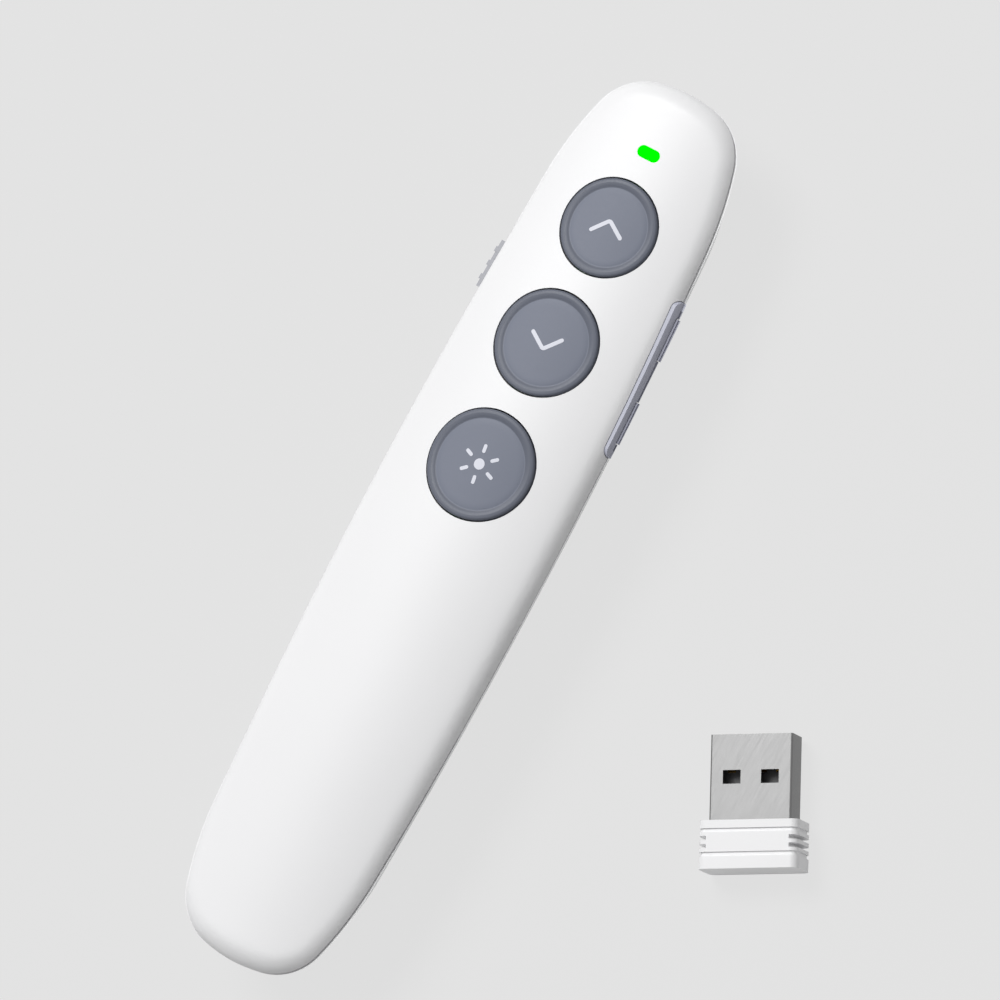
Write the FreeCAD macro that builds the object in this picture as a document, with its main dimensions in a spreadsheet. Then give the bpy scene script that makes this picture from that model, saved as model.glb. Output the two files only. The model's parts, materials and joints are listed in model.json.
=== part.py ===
import FreeCAD, Part
import Sketcher
import math
import os

# Hand-held presentation clicker with its plug-in receiver, in millimetres.
# The clicker lies on its back: +Z is the button side, +Y is the laser end, +X is the key strip side.
# The origin is the middle of the flat face that it rests on.

V = FreeCAD.Vector
doc = FreeCAD.newDocument("clicker")
sheet = doc.addObject("Spreadsheet::Sheet", "Sizes")

SIZES = (
    ("body_length", 138.0, "tip to tip at the parting line"),
    ("body_width", 30.2, "widest, at the parting line"),
    ("body_height", 19.0, "flat back to top of the crown"),
    ("parting_height", 14.6, "back to the joint between upper and lower shells"),
    ("wall", 1.6, "wall of the moulded shells"),
    ("side_bow", 1000.0, "radius of the long sides in plan"),
    ("cheek_start", 50.0, "where the sides start to turn in"),
    ("cheek_radius", 50.0, "first turn of the sides"),
    ("corner_radius", 9.0, "corner of the rounded ends"),
    ("tip_radius", 24.0, "blunt tip of the ends"),
    ("back_length", 124.0, "length of the back outline"),
    ("back_width", 19.6, "width of the back outline"),
    ("back_cheek_start", 49.5, "where the back outline starts to turn in"),
    ("back_cheek_radius", 32.0, "first turn of the back outline"),
    ("back_corner_radius", 5.8, "corner of the back outline"),
    ("back_tip_radius", 15.6, "tip of the back outline"),
    ("back_edge_radius", 4.8, "round between back and flanks"),
    ("crown_bow", 1100.0, "radius of the crown along the body"),
    ("crown_cross", 42.0, "radius of the crown across the body"),
    ("shoulder_radius", 3.3, "round between crown and sides"),
    ("reveal_height", 0.3, "height of the shadow line under the upper shell"),
    ("reveal_depth", 0.4, "depth of that shadow line"),
    ("cover_step", 7.3, "front edge of the battery cover ahead of the laser button"),
    ("cover_gap", 0.15, "gap round the sliding battery cover"),
    ("slide_fit", 0.2, "running clearance of sliding and pressing pieces"),
    ("laser_step", 19.4, "laser button behind the page down button"),
    ("laser_radius", 8.2, "its hole in the shell"),
    ("page_down_step", 18.4, "page down button behind the page up button"),
    ("page_down_radius", 7.9, "its hole in the shell"),
    ("page_up_setback", 22.1, "page up button from the nose"),
    ("page_up_radius", 7.35, "its hole in the shell"),
    ("button_gap", 0.22, "gap round a button"),
    ("button_edge", 0.35, "round of a button's upper edge"),
    ("button_proud", 0.25, "how far a button stands above the crown"),
    ("button_skirt", 2.6, "crown down to the lower edge of a button"),
    ("button_wall", 1.3, "wall of a button cap"),
    ("button_roof", 1.6, "crown down to the hollow inside a button"),
    ("dish_rim", 1.35, "rim left round the hollow in a button top"),
    ("dish_depth", 0.16, "depth of that hollow"),
    ("tab_reach", 1.0, "reach of a button's keeper under the shell"),
    ("tab_width", 3.0, "width of a keeper"),
    ("tab_height", 0.45, "height of a keeper"),
    ("stem_radius", 1.6, "stem between button and switch"),
    ("button_travel", 0.5, "press of a button"),
    ("board_bottom", 13.4, "under side of the circuit board"),
    ("board_thickness", 1.0, "circuit board"),
    ("board_length", 67.2, "length of the board"),
    ("board_setback", 7.8, "front edge of the board from the nose"),
    ("board_width", 19.2, "width of the board"),
    ("board_nose_width", 13.0, "width of the board at its front"),
    ("board_nose_length", 9.2, "part of the board that narrows"),
    ("switch_side", 4.0, "side of a push switch"),
    ("switch_height", 0.8, "height of a push switch"),
    ("plunger_radius", 1.0, "plunger of a push switch"),
    ("plunger_top", 15.9, "height of a plunger's top"),
    ("plunger_sunk", 0.25, "part of a plunger inside its switch"),
    ("light_setback", 10.3, "status light from the nose"),
    ("light_length", 3.6, "light slot across the body"),
    ("light_width", 1.8, "light slot along the body"),
    ("light_flange", 0.6, "flange of the light pipe round its slot"),
    ("light_flange_height", 0.4, "height of that flange"),
    ("light_flange_bottom", 15.3, "under side of that flange"),
    ("led_length", 2.0, "light emitting diode across the body"),
    ("led_width", 1.25, "light emitting diode along the body"),
    ("led_height", 0.8, "height of the diode"),
    ("strip_step", 10.2, "tail end of the side strip behind the page down button"),
    ("strip_length", 24.1, "length of the side key strip"),
    ("strip_height", 2.3, "height of the side key strip"),
    ("strip_middle", 14.6, "height of its middle"),
    ("key_middle", 14.15, "height of a side key's middle"),
    ("strip_proud", 0.35, "how far the strip stands out of the side"),
    ("strip_inner", 11.9, "inner face of the strip from the middle"),
    ("strip_groove_width", 0.36, "groove along the strip"),
    ("strip_groove_depth", 0.3, "depth of that groove"),
    ("key_lower_step", 5.5, "lower side key from the tail end of its strip"),
    ("key_upper_step", 18.45, "upper side key from the tail end of its strip"),
    ("key_length", 6.4, "length of a side key"),
    ("key_height", 1.3, "height of a side key"),
    ("key_proud", 0.6, "how far a side key stands out of the side"),
    ("key_inner", 11.9, "inner face of a side key"),
    ("key_fit", 0.12, "gap round a side key"),
    ("key_stem_inner", 10.3, "inner end of a side key's stem"),
    ("key_stem_width", 1.6, "width of that stem"),
    ("key_travel", 0.35, "press of a side key"),
    ("side_switch_inner", 7.0, "inner face of a side switch"),
    ("side_switch_outer", 9.4, "outer face of a side switch"),
    ("side_switch_length", 3.4, "length of a side switch"),
    ("side_switch_height", 1.0, "height of a side switch"),
    ("side_plunger_width", 1.2, "plunger of a side switch"),
    ("side_plunger_height", 0.5, "height of that plunger"),
    ("side_plunger_bottom", 14.45, "under side of the side plungers and stems"),
    ("side_plunger_sunk", 0.9, "part of that plunger inside the switch"),
    ("knob_step", 6.4, "power slide, switched off, ahead of the page down button"),
    ("knob_length", 7.4, "length of the power slide"),
    ("knob_height", 2.8, "height of the power slide"),
    ("knob_middle", 13.4, "height of its middle"),
    ("knob_proud", 0.45, "how far the slide stands out of the side"),
    ("knob_rib_width", 0.8, "width of a rib"),
    ("knob_rib_pitch", 2.2, "spacing of the ribs"),
    ("knob_travel", 2.0, "way of the power slide"),
    ("knob_inner", 10.9, "inner face of the slide from the middle"),
    ("shield_thickness", 0.6, "plate behind the slide"),
    ("shield_margin", 0.9, "how far that plate reaches below the slide"),
    ("lever_width", 1.2, "lever of the power switch"),
    ("lever_height", 0.35, "height of the lever"),
    ("lever_bottom", 14.5, "under side of the lever"),
    ("power_switch_inner", 7.2, "inner face of the power switch"),
    ("power_switch_outer", 9.5, "outer face of the power switch"),
    ("power_switch_length", 7.0, "length of the power switch"),
    ("power_switch_height", 1.0, "height of the power switch"),
    ("lever_sunk", 1.2, "part of the lever inside the switch"),
    ("cell_radius", 5.25, "battery cell"),
    ("cell_length", 44.5, "battery cell with its button"),
    ("cell_button_radius", 1.9, "button of the cell"),
    ("cell_button_height", 0.8, "height of that button"),
    ("cell_height", 7.15, "height of the cell's axis"),
    ("cell_step", 2.0, "front end of the cell behind the cover's edge"),
    ("contact_thickness", 0.4, "sheet of the battery contacts"),
    ("contact_width", 7.0, "width of the battery contacts"),
    ("spring_reach", 3.7, "bow of the spring contact"),
    ("bay_fit", 0.3, "clearance round the cell in its bay"),
    ("holder_wall", 1.2, "walls of the battery holder"),
    ("holder_roof", 0.85, "roof of the battery holder"),
    ("holder_bottom", 6.2, "lower edge of the holder's walls"),
    ("holder_end", 1.2, "end walls of the holder"),
    ("web_length", 5.0, "block between the two bays"),
    ("bay_setback", 10.3, "rear end of the receiver bay from the tail"),
    ("ear_length", 7.2, "ears in front of the holder"),
    ("ear_width", 5.6, "width of an ear"),
    ("rail_height", 1.0, "rails of the battery cover"),
    ("rail_bottom", 11.5, "under side of the rails"),
    ("rail_inner", 10.3, "inner face of the rails"),
    ("rail_length", 50.0, "length of the rails"),
    ("flange_height", 0.9, "flange of the holder under the rails"),
    ("flange_outer", 10.9, "outer face of the flange"),
    ("grip_step", 7.9, "middle of the thumb grip behind the cover's edge"),
    ("grip_length", 9.0, "thumb grip on the cover, along the body"),
    ("grip_width", 11.0, "width of the thumb grip"),
    ("grip_depth", 0.6, "depth of the thumb grip"),
    ("grip_corner", 1.6, "corners of the thumb grip"),
    ("seat_fit", 0.03, "clearance of a piece that sits in its seat"),
    ("screw_radius", 1.0, "shank of the case screws"),
    ("screw_head_radius", 1.8, "head of the case screws"),
    ("screw_head_height", 1.2, "height of that head"),
    ("screw_step", 3.0, "front case screws ahead of the battery cover"),
    ("screw_front_x", 6.2, "front case screws from the middle"),
    ("screw_front_head", 6.0, "under side of its head"),
    ("screw_rear_head", 9.6, "under side of the rear screw's head"),
    ("screw_top", 16.6, "top end of the case screws"),
    ("post_radius", 2.8, "post of the lower shell round the front screw"),
    ("boss_radius", 2.2, "bosses of the upper shell"),
    ("laser_height", 10.1, "height of the laser's axis"),
    ("barrel_radius", 3.0, "laser barrel"),
    ("barrel_setback", 6.0, "front end of the laser barrel from the nose"),
    ("barrel_length", 11.5, "length of the laser barrel"),
    ("lens_radius", 2.1, "laser lens"),
    ("lens_length", 1.4, "length of the lens"),
    ("window_radius", 2.4, "laser window in the nose"),
    ("cradle_wall", 1.2, "cradle of the laser barrel"),
    ("chip_side", 4.0, "radio chip"),
    ("chip_height", 0.8, "height of the radio chip"),
    ("crystal_step", 8.4, "clock crystal ahead of the page down button"),
    ("crystal_length", 3.2, "clock crystal"),
    ("crystal_width", 2.5, "width of the crystal"),
    ("crystal_height", 0.7, "height of the crystal"),
    ("plug_width", 12.0, "receiver plug"),
    ("plug_thickness", 4.5, "thickness of the plug"),
    ("plug_length", 12.2, "plug outside the receiver body"),
    ("plug_sheet", 0.3, "steel sheet of the plug"),
    ("plug_window_width", 2.6, "windows in the plug"),
    ("plug_window_length", 1.95, "length of those windows"),
    ("plug_window_x", 2.8, "windows from the middle of the plug"),
    ("plug_window_y", 5.2, "windows from the receiver body"),
    ("tongue_width", 11.0, "contact carrier in the plug"),
    ("tongue_thickness", 1.85, "thickness of the carrier"),
    ("tongue_inset", 0.5, "carrier behind the plug's edge"),
    ("tongue_edge", 0.25, "round on the carrier's front edges"),
    ("pin_width", 1.1, "contact strips of the plug"),
    ("pin_thickness", 0.15, "thickness of the strips"),
    ("pin_length", 3.6, "length of the strips"),
    ("pin_setback", 1.0, "strips behind the carrier's front edge"),
    ("pin_inner_x", 1.0, "inner strips from the middle"),
    ("pin_outer_x", 3.5, "outer strips from the middle"),
    ("dongle_width", 14.6, "receiver body"),
    ("dongle_thickness", 6.4, "thickness of the receiver body"),
    ("dongle_length", 6.87, "length of the receiver body"),
    ("dongle_corner", 1.1, "corners of the receiver body"),
    ("dongle_groove", 0.25, "depth of its grooves"),
    ("dongle_groove_upper", 1.15, "first groove from the plug side"),
    ("dongle_groove_upper_width", 0.54, "width of the first groove"),
    ("dongle_groove_lower", 4.49, "second groove from the plug side"),
    ("dongle_groove_lower_width", 0.61, "width of the second groove"),
    ("dongle_notch", 1.25, "grip notches in from each side"),
    ("dongle_notch_width", 0.6, "width of a grip notch"),
    ("dongle_notch_first", 2.23, "first notch from the plug side"),
    ("dongle_notch_pitch", 1.15, "spacing of the notches"),
    ("dongle_x", 55.4, "receiver beside the clicker"),
    ("dongle_y", -17.2, "receiver along the clicker"),
    ("dongle_turn", 27.9, "turn of the receiver on the table in degrees"),
)
for row, (alias, number, note) in enumerate(SIZES, start=1):
    sheet.set("A%d" % row, alias)
    sheet.set("B%d" % row, str(number))
    sheet.set("C%d" % row, note)
    sheet.setAlias("B%d" % row, alias)
doc.recompute()


class Size:
    """A number that keeps the sheet formula it came from."""

    def __init__(self, number, text):
        self.number = number
        self.text = text

    def __add__(self, other):
        other = sized(other)
        return Size(self.number + other.number, "(%s + %s)" % (self.text, other.text))

    def __radd__(self, other):
        return sized(other) + self

    def __sub__(self, other):
        other = sized(other)
        return Size(self.number - other.number, "(%s - %s)" % (self.text, other.text))

    def __rsub__(self, other):
        return sized(other) - self

    def __mul__(self, other):
        other = sized(other)
        return Size(self.number * other.number, "(%s * %s)" % (self.text, other.text))

    def __rmul__(self, other):
        return sized(other) * self

    def __truediv__(self, other):
        other = sized(other)
        return Size(self.number / other.number, "(%s / %s)" % (self.text, other.text))

    def __neg__(self):
        return Size(-self.number, "(0 - %s)" % self.text)


def sized(value):
    """A plain number as a Size."""
    if isinstance(value, Size):
        return value
    return Size(float(value), repr(float(value)))


class Sheet:
    """Every alias of the sheet as a Size."""

    def __getattr__(self, alias):
        return Size(float(sheet.get(alias)), "Sizes." + alias)


s = Sheet()
EXTRA = 2.0


def bind(item, path, size):
    """Drive one property of an object from the sheet."""
    item.setExpression(path, sized(size).text)


def place(item, x, y, z, rotation=None):
    """Put an object at a point given by sizes, turned as asked."""
    if rotation is not None:
        item.Placement = FreeCAD.Placement(V(0, 0, 0), rotation)
    for path, size in (("x", x), ("y", y), ("z", z)):
        bind(item, "Placement.Base." + path, size)


def block(name, x0, x1, y0, y1, z0, z1):
    """A box between two corners."""
    item = doc.addObject("Part::Box", name)
    bind(item, "Length", sized(x1) - x0)
    bind(item, "Width", sized(y1) - y0)
    bind(item, "Height", sized(z1) - z0)
    place(item, x0, y0, z0)
    return item


UPRIGHT = FreeCAD.Rotation(V(0, 0, 1), 0)
ALONG_Y = FreeCAD.Rotation(V(1, 0, 0), -90)
ALONG_X = FreeCAD.Rotation(V(0, 1, 0), 90)


def rod(name, x, y, z, radius, length, rotation=UPRIGHT):
    """A cylinder from a point, upright unless it is turned."""
    item = doc.addObject("Part::Cylinder", name)
    bind(item, "Radius", radius)
    bind(item, "Height", length)
    place(item, x, y, z, rotation)
    return item


def fuse(name, *items):
    item = doc.addObject("Part::MultiFuse", name)
    item.Shapes = list(items)
    item.Refine = True
    return item


def cut(name, base, *tools):
    item = doc.addObject("Part::Cut", name)
    item.Base = base
    item.Tool = tools[0] if len(tools) == 1 else fuse(name + "_tools", *tools)
    return item


def common(name, base, tool):
    item = doc.addObject("Part::Common", name)
    item.Base = base
    item.Tool = tool
    return item


def rounded(name, base, radius, chosen):
    """Round the edges of a shape that a test picks."""
    doc.recompute()
    item = doc.addObject("Part::Fillet", name)
    item.Base = base
    edges = [i for i, edge in enumerate(base.Shape.Edges, start=1) if chosen(edge)]
    size = sized(radius).number
    item.Edges = [(i, size, size) for i in edges]
    return item


def outline_arcs(length, width, side_bow, start, cheek, corner, tip, inset):
    """The rounded plan outline as twelve arcs, drawn in by an inset."""
    half_width = width / 2 - inset
    half_length = length / 2 - inset
    bow, cheek, corner, tip = side_bow - inset, cheek - inset, corner - inset, tip - inset
    lean = math.asin(start / side_bow)
    side_centre = V(half_width - bow, 0, 0)
    cheek_centre = side_centre + V(math.cos(lean), math.sin(lean), 0) * (bow - cheek)
    tip_centre = V(0, half_length - tip, 0)
    # The corner touches the cheek and the tip, so its centre is where two circles cross.
    reach = tip_centre - cheek_centre
    gap = reach.Length
    along = ((cheek - corner) ** 2 - (tip - corner) ** 2 + gap ** 2) / (2 * gap)
    across = math.sqrt((cheek - corner) ** 2 - along ** 2)
    forward = reach / gap
    sideways = V(-forward.y, forward.x, 0)
    corner_centre = cheek_centre + forward * along + sideways * across
    turn = math.atan2(corner_centre.y - cheek_centre.y, corner_centre.x - cheek_centre.x)
    close = math.atan2(corner_centre.y - tip_centre.y, corner_centre.x - tip_centre.x)
    quarter = ((cheek_centre, cheek, lean, turn), (corner_centre, corner, turn, close))
    arcs = [(side_centre, bow, -lean, lean)]
    arcs += quarter
    arcs.append((tip_centre, tip, close, math.pi - close))
    for centre, radius, start_angle, end_angle in reversed(quarter):
        arcs.append((V(-centre.x, centre.y, 0), radius, math.pi - end_angle, math.pi - start_angle))
    arcs.append((V(-side_centre.x, 0, 0), bow, math.pi - lean, math.pi + lean))
    for centre, radius, start_angle, end_angle in quarter:
        arcs.append((V(-centre.x, -centre.y, 0), radius, math.pi + start_angle, math.pi + end_angle))
    arcs.append((V(0, -tip_centre.y, 0), tip, math.pi + close, 2 * math.pi - close))
    for centre, radius, start_angle, end_angle in reversed(quarter):
        arcs.append((V(centre.x, -centre.y, 0), radius, -end_angle, -start_angle))
    return arcs


def outline(name, height, inset, back=False):
    """A sketch of the plan outline at a height: the parting line, or the back."""
    prefix = "back_" if back else ""
    names = ["%scheek_start" % prefix, "%scheek_radius" % prefix]
    names += ["%scorner_radius" % prefix, "%stip_radius" % prefix]
    start, cheek, corner, tip = [getattr(s, alias).number for alias in names]
    length = (s.back_length if back else s.body_length).number
    width = (s.back_width if back else s.body_width).number
    sketch = doc.addObject("Sketcher::SketchObject", name)
    arcs = outline_arcs(length, width, s.side_bow.number, start, cheek, corner, tip, sized(inset).number)
    for centre, radius, start_angle, end_angle in arcs:
        circle = Part.Circle(centre, V(0, 0, 1), radius)
        sketch.addGeometry(Part.ArcOfCircle(circle, start_angle, end_angle), False)
    for i in range(len(arcs)):
        sketch.addConstraint(Sketcher.Constraint("Coincident", i, 2, (i + 1) % len(arcs), 1))
    place(sketch, 0, 0, height)
    return sketch


def upper_form(name, inset, bottom):
    """The upper half as a solid: outline, crown and rounded shoulder."""
    plan = outline(name + "_outline", bottom, inset)
    prism = doc.addObject("Part::Extrusion", name + "_prism")
    prism.Base = plan
    prism.DirMode = "Normal"
    prism.Solid = True
    bind(prism, "LengthFwd", s.body_height + EXTRA - bottom)
    crown = doc.addObject("Part::Torus", name + "_crown")
    bind(crown, "Radius1", s.crown_bow - s.crown_cross)
    bind(crown, "Radius2", s.crown_cross - inset)
    place(crown, 0, 0, s.body_height - s.crown_bow, ALONG_X)
    blank = common(name + "_blank", prism, crown)
    doc.recompute()
    top = sized(bottom).number + 0.01

    def is_rim(edge):
        box = edge.BoundBox
        return box.ZMin > top

    return rounded(name, blank, s.shoulder_radius - inset, is_rim)


def lower_form(name, inset, floor):
    """The lower half as a solid: flanks between two outlines and a rounded back edge."""
    top = outline(name + "_top", s.parting_height, inset)
    back = outline(name + "_back", 0, inset, back=True)
    loft = doc.addObject("Part::Loft", name + "_flanks")
    loft.Sections = [back, top]
    loft.Solid = True
    loft.Ruled = True
    trimmed = loft
    if sized(floor).number > 0:
        under = block(name + "_under", -s.body_width, s.body_width, -s.body_length, s.body_length,
                      sized(-EXTRA), floor)
        trimmed = cut(name + "_trimmed", loft, under)
    level = sized(floor).number

    def is_back_edge(edge):
        box = edge.BoundBox
        return abs(box.ZMin - level) < 1e-4 and abs(box.ZMax - level) < 1e-4

    return rounded(name, trimmed, s.back_edge_radius - floor, is_back_edge)


PIECES = []


def piece(label, item):
    """Name a finished sub-part and put it on the list to write."""
    item.Label = label
    PIECES.append(item)
    return item


def crown(name, inset):
    """The ball-like crown of the upper shell, drawn in by an inset."""
    item = doc.addObject("Part::Torus", name)
    bind(item, "Radius1", s.crown_bow - s.crown_cross)
    bind(item, "Radius2", s.crown_cross - inset)
    place(item, 0, 0, s.body_height - s.crown_bow, ALONG_X)
    return item


def crown_height(y):
    """Height of the crown above the middle line at a place along the body."""
    return s.body_height - sized(y) * y / (2 * s.crown_bow)


def profile(sketch, corners):
    """A closed outline of straight lines whose corners are driven from the sheet."""
    count = len(corners)
    points = [V(sized(x).number, sized(y).number, 0) for x, y in corners]
    for i in range(count):
        sketch.addGeometry(Part.LineSegment(points[i], points[(i + 1) % count]), False)
    for i in range(count):
        sketch.addConstraint(Sketcher.Constraint("Coincident", i, 2, (i + 1) % count, 1))
    for i, corner in enumerate(corners):
        for kind, axis, value in (("DistanceX", -2, corner[0]), ("DistanceY", -1, corner[1])):
            size = sized(value)
            if size.number == 0:
                sketch.addConstraint(Sketcher.Constraint("PointOnObject", i, 1, axis))
                continue
            index = sketch.addConstraint(Sketcher.Constraint(kind, -1, 1, i, 1, size.number))
            sketch.setExpression("Constraints[%d]" % index, size.text)


def origin_plane(body, role):
    return next(item for item in body.Origin.OriginFeatures if item.Role == role)


def sketch_on(body, name, role):
    sketch = body.newObject("Sketcher::SketchObject", name)
    sketch.AttachmentSupport = (origin_plane(body, role), [""])
    sketch.MapMode = "FlatFace"
    return sketch


def turned(name, corners, rotation=UPRIGHT):
    """A turned piece: a profile of radius and height, revolved round its upright axis."""
    body = doc.addObject("PartDesign::Body", name)
    sketch = sketch_on(body, name + "_profile", "XZ_Plane")
    profile(sketch, corners)
    feature = body.newObject("PartDesign::Revolution", name + "_turned")
    feature.Profile = sketch
    feature.ReferenceAxis = (sketch, ["V_Axis"])
    feature.Angle = 360
    body.Placement = FreeCAD.Placement(V(0, 0, 0), rotation)
    return body


def padded(name, corners, bottom, height):
    """A flat piece: an outline in plan, raised from a height."""
    body = doc.addObject("PartDesign::Body", name)
    sketch = sketch_on(body, name + "_plan", "XY_Plane")
    profile(sketch, corners)
    feature = body.newObject("PartDesign::Pad", name + "_pad")
    feature.Profile = sketch
    bind(feature, "Length", height)
    bind(body, "Placement.Base.z", bottom)
    return body


def slot_up(name, x, y, length, width, bottom, top):
    """An upright bar with round ends, long across the body."""
    straight = (sized(length) - width) / 2
    bar = block(name + "_bar", x - straight, x + straight, y - sized(width) / 2, y + sized(width) / 2, bottom, top)
    ends = [rod("%s_end_%d" % (name, i), x + straight * side, y, bottom, sized(width) / 2, sized(top) - bottom)
            for i, side in enumerate((-1, 1))]
    return fuse(name, bar, *ends)


def slot_across(name, y0, y1, middle, height, x0, x1):
    """A bar with round ends that lies along the body and reaches across it."""
    half = sized(height) / 2
    bar = block(name + "_bar", x0, x1, y0 + half, y1 - half, middle - half, middle + half)
    ends = [rod("%s_end_%d" % (name, i), x0, y, middle, half, sized(x1) - x0, ALONG_X)
            for i, y in enumerate((y0 + half, y1 - half))]
    return fuse(name, bar, *ends)


FAR = 40.0
SIDE = 20.0

# Forms that the shells, the side pieces and the posts share
below_joint = block("below_joint", -FAR, FAR, -2 * FAR, 2 * FAR, -FAR, s.parting_height)


def upper_solid(name, inset):
    """The upper form, cut off at the parting plane."""
    return cut(name, upper_form(name + "_form", inset, s.parting_height - EXTRA), below_joint)


outer_top = upper_solid("outer_top", 0.0)
inner_top = upper_form("inner_top", s.wall, s.parting_height - EXTRA)
middle_top = upper_form("middle_top", s.wall / 2, s.parting_height - EXTRA)
outer_low = lower_form("outer_low", 0.0, 0.0)
inner_low = lower_form("inner_low", s.wall * 1.06, s.wall)
middle_low = lower_form("middle_low", s.wall / 2, s.wall / 2)
strip_skin = fuse("strip_skin", upper_solid("strip_skin_top", -s.strip_proud),
                  lower_form("strip_skin_low", -s.strip_proud, 0.0))
key_skin = fuse("key_skin", upper_solid("key_skin_top", -s.key_proud),
                lower_form("key_skin_low", -s.key_proud, 0.0))

# Places that follow from the sizes
nose = s.body_length / 2
page_up_y = nose - s.page_up_setback
page_down_y = page_up_y - s.page_down_step
laser_y = page_down_y - s.laser_step
led_y = nose - s.light_setback
board_front = nose - s.board_setback
board_top = s.board_bottom + s.board_thickness
cover_front = laser_y + s.cover_step
cell_front = cover_front - s.cell_step
screw_front_y = cover_front + s.screw_step
barrel_front = nose - s.barrel_setback
barrel_rear = barrel_front - s.barrel_length
bay_front = cell_front + s.contact_thickness
cell_rear = cell_front - s.cell_length
bay_rear = cell_rear - s.spring_reach - s.contact_thickness
web_rear = bay_rear - s.web_length
receiver_bay_rear = s.bay_setback - nose
screw_rear_y = bay_rear - s.web_length / 2
strip_start = page_down_y - s.strip_step
strip_end = strip_start + s.strip_length
knob_y = page_down_y + s.knob_step
knob_bottom = s.knob_middle - s.knob_height / 2
knob_top = s.knob_middle + s.knob_height / 2
knob_window = block("knob_window", -SIDE, -s.knob_inner, knob_y - s.knob_length / 2 - s.slide_fit,
                    knob_y + s.knob_length / 2 + s.knob_travel + s.slide_fit,
                    knob_bottom - s.slide_fit, knob_top + s.slide_fit)
strip_window = slot_across("strip_window", strip_start - s.key_fit, strip_end + s.key_fit, s.strip_middle,
                           s.strip_height + 2 * s.key_fit, s.strip_inner - s.slide_fit, SIDE)
front_screws = [(-s.screw_front_x, screw_front_y), (s.screw_front_x, screw_front_y)]

BUTTONS = (
    ("laser", laser_y, s.laser_radius),
    ("page_down", page_down_y, s.page_down_radius),
    ("page_up", page_up_y, s.page_up_radius),
)

# Upper shell with its bosses, button holes and windows
boss_rods = [rod("boss_rear", 0, screw_rear_y, s.board_bottom, s.boss_radius, s.body_height - s.board_bottom)]
for i, (x, y) in enumerate(front_screws):
    boss_rods.append(rod("boss_front_%d" % i, x, y, s.board_bottom, s.boss_radius, s.body_height - s.board_bottom))
bosses = common("bosses", fuse("boss_rods", *boss_rods), middle_top)
top_holes = [rod(name + "_hole", 0, y, s.parting_height - EXTRA, radius, s.body_height - s.parting_height + 2 * EXTRA)
             for name, y, radius in BUTTONS]
top_holes.append(slot_up("light_slot", sized(0), led_y, s.light_length, s.light_width, board_top,
                         s.body_height + EXTRA))
top_holes += [knob_window, strip_window]
thread = [rod("thread_rear", 0, screw_rear_y, s.board_bottom - EXTRA, s.screw_radius,
              s.screw_top - s.board_bottom + EXTRA)]
for i, (x, y) in enumerate(front_screws):
    thread.append(rod("thread_front_%d" % i, x, y, s.board_bottom - EXTRA, s.screw_radius,
                      s.screw_top - s.board_bottom + EXTRA))
hull_top = cut("hull_top", outer_top, inner_top)
piece("top_shell", cut("top_shell", fuse("top_with_bosses", hull_top, bosses), *(top_holes + thread)))

# Lower shell in front and sliding battery cover behind, from one boat-shaped hull
reveal = cut("reveal", block("reveal_band", -FAR, FAR, -2 * FAR, 2 * FAR, s.parting_height - s.reveal_height,
                             s.parting_height + EXTRA),
             upper_form("reveal_core", s.reveal_depth, s.parting_height - EXTRA))
hull_low = cut("hull_low", cut("hull_low_plain", outer_low, inner_low), reveal)
ahead = block("ahead", -FAR, FAR, cover_front, 2 * FAR, -EXTRA, s.parting_height)
behind = block("behind", -FAR, FAR, -2 * FAR, cover_front - s.cover_gap, -EXTRA, s.parting_height - s.cover_gap)
post_rods = [rod("post_%d" % i, x, y, sized(0), s.post_radius, s.board_bottom - s.holder_roof)
             for i, (x, y) in enumerate(front_screws)]
cradles = [block("cradle_%d" % i, -s.barrel_radius - s.cradle_wall, s.barrel_radius + s.cradle_wall,
                 y, y + s.cradle_wall, sized(0), s.laser_height)
           for i, y in enumerate((barrel_rear + s.cradle_wall, barrel_front - 2 * s.cradle_wall - s.lens_length))]
low_features = common("low_features", fuse("low_ribs", *(post_rods + cradles)), middle_low)
low_holes = [rod("laser_saddle", 0, barrel_rear - EXTRA, s.laser_height, s.barrel_radius + s.seat_fit, s.barrel_length + EXTRA,
                 ALONG_Y),
             rod("laser_exit", 0, barrel_front - EXTRA, s.laser_height, s.window_radius + s.seat_fit, SIDE, ALONG_Y),
             knob_window, strip_window]
for i, (x, y) in enumerate(front_screws):
    low_holes.append(rod("head_well_%d" % i, x, y, -EXTRA, s.screw_head_radius + s.slide_fit,
                         s.screw_front_head + s.screw_head_height + EXTRA))
    low_holes.append(rod("shank_well_%d" % i, x, y, sized(0), s.screw_radius + s.slide_fit / 2, s.parting_height))
front_low = fuse("front_low", common("front_hull", hull_low, ahead), low_features)
piece("bottom_shell", cut("bottom_shell", front_low, *low_holes))

rail_front = cover_front - s.cover_gap - s.slide_fit
rail_blocks = []
for i, side in enumerate((-1, 1)):
    x0, x1 = (s.rail_inner, sized(SIDE)) if side > 0 else (sized(-SIDE), -s.rail_inner)
    rail_blocks.append(block("rail_%d" % i, x0, x1, rail_front - s.rail_length, rail_front, s.rail_bottom,
                             s.rail_bottom + s.rail_height))
rails = common("rails", fuse("rail_pair", *rail_blocks), middle_low)
grip_y = cover_front - s.grip_step
grip = rounded("grip", block("grip_block", -s.grip_width / 2, s.grip_width / 2, grip_y - s.grip_length / 2,
                             grip_y + s.grip_length / 2, -EXTRA, s.grip_depth), s.grip_corner,
               lambda edge: edge.BoundBox.XLength < 1e-4 and edge.BoundBox.YLength < 1e-4)
piece("battery_cover", cut("battery_cover", fuse("cover_body", common("rear_hull", hull_low, behind), rails), grip))

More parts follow.
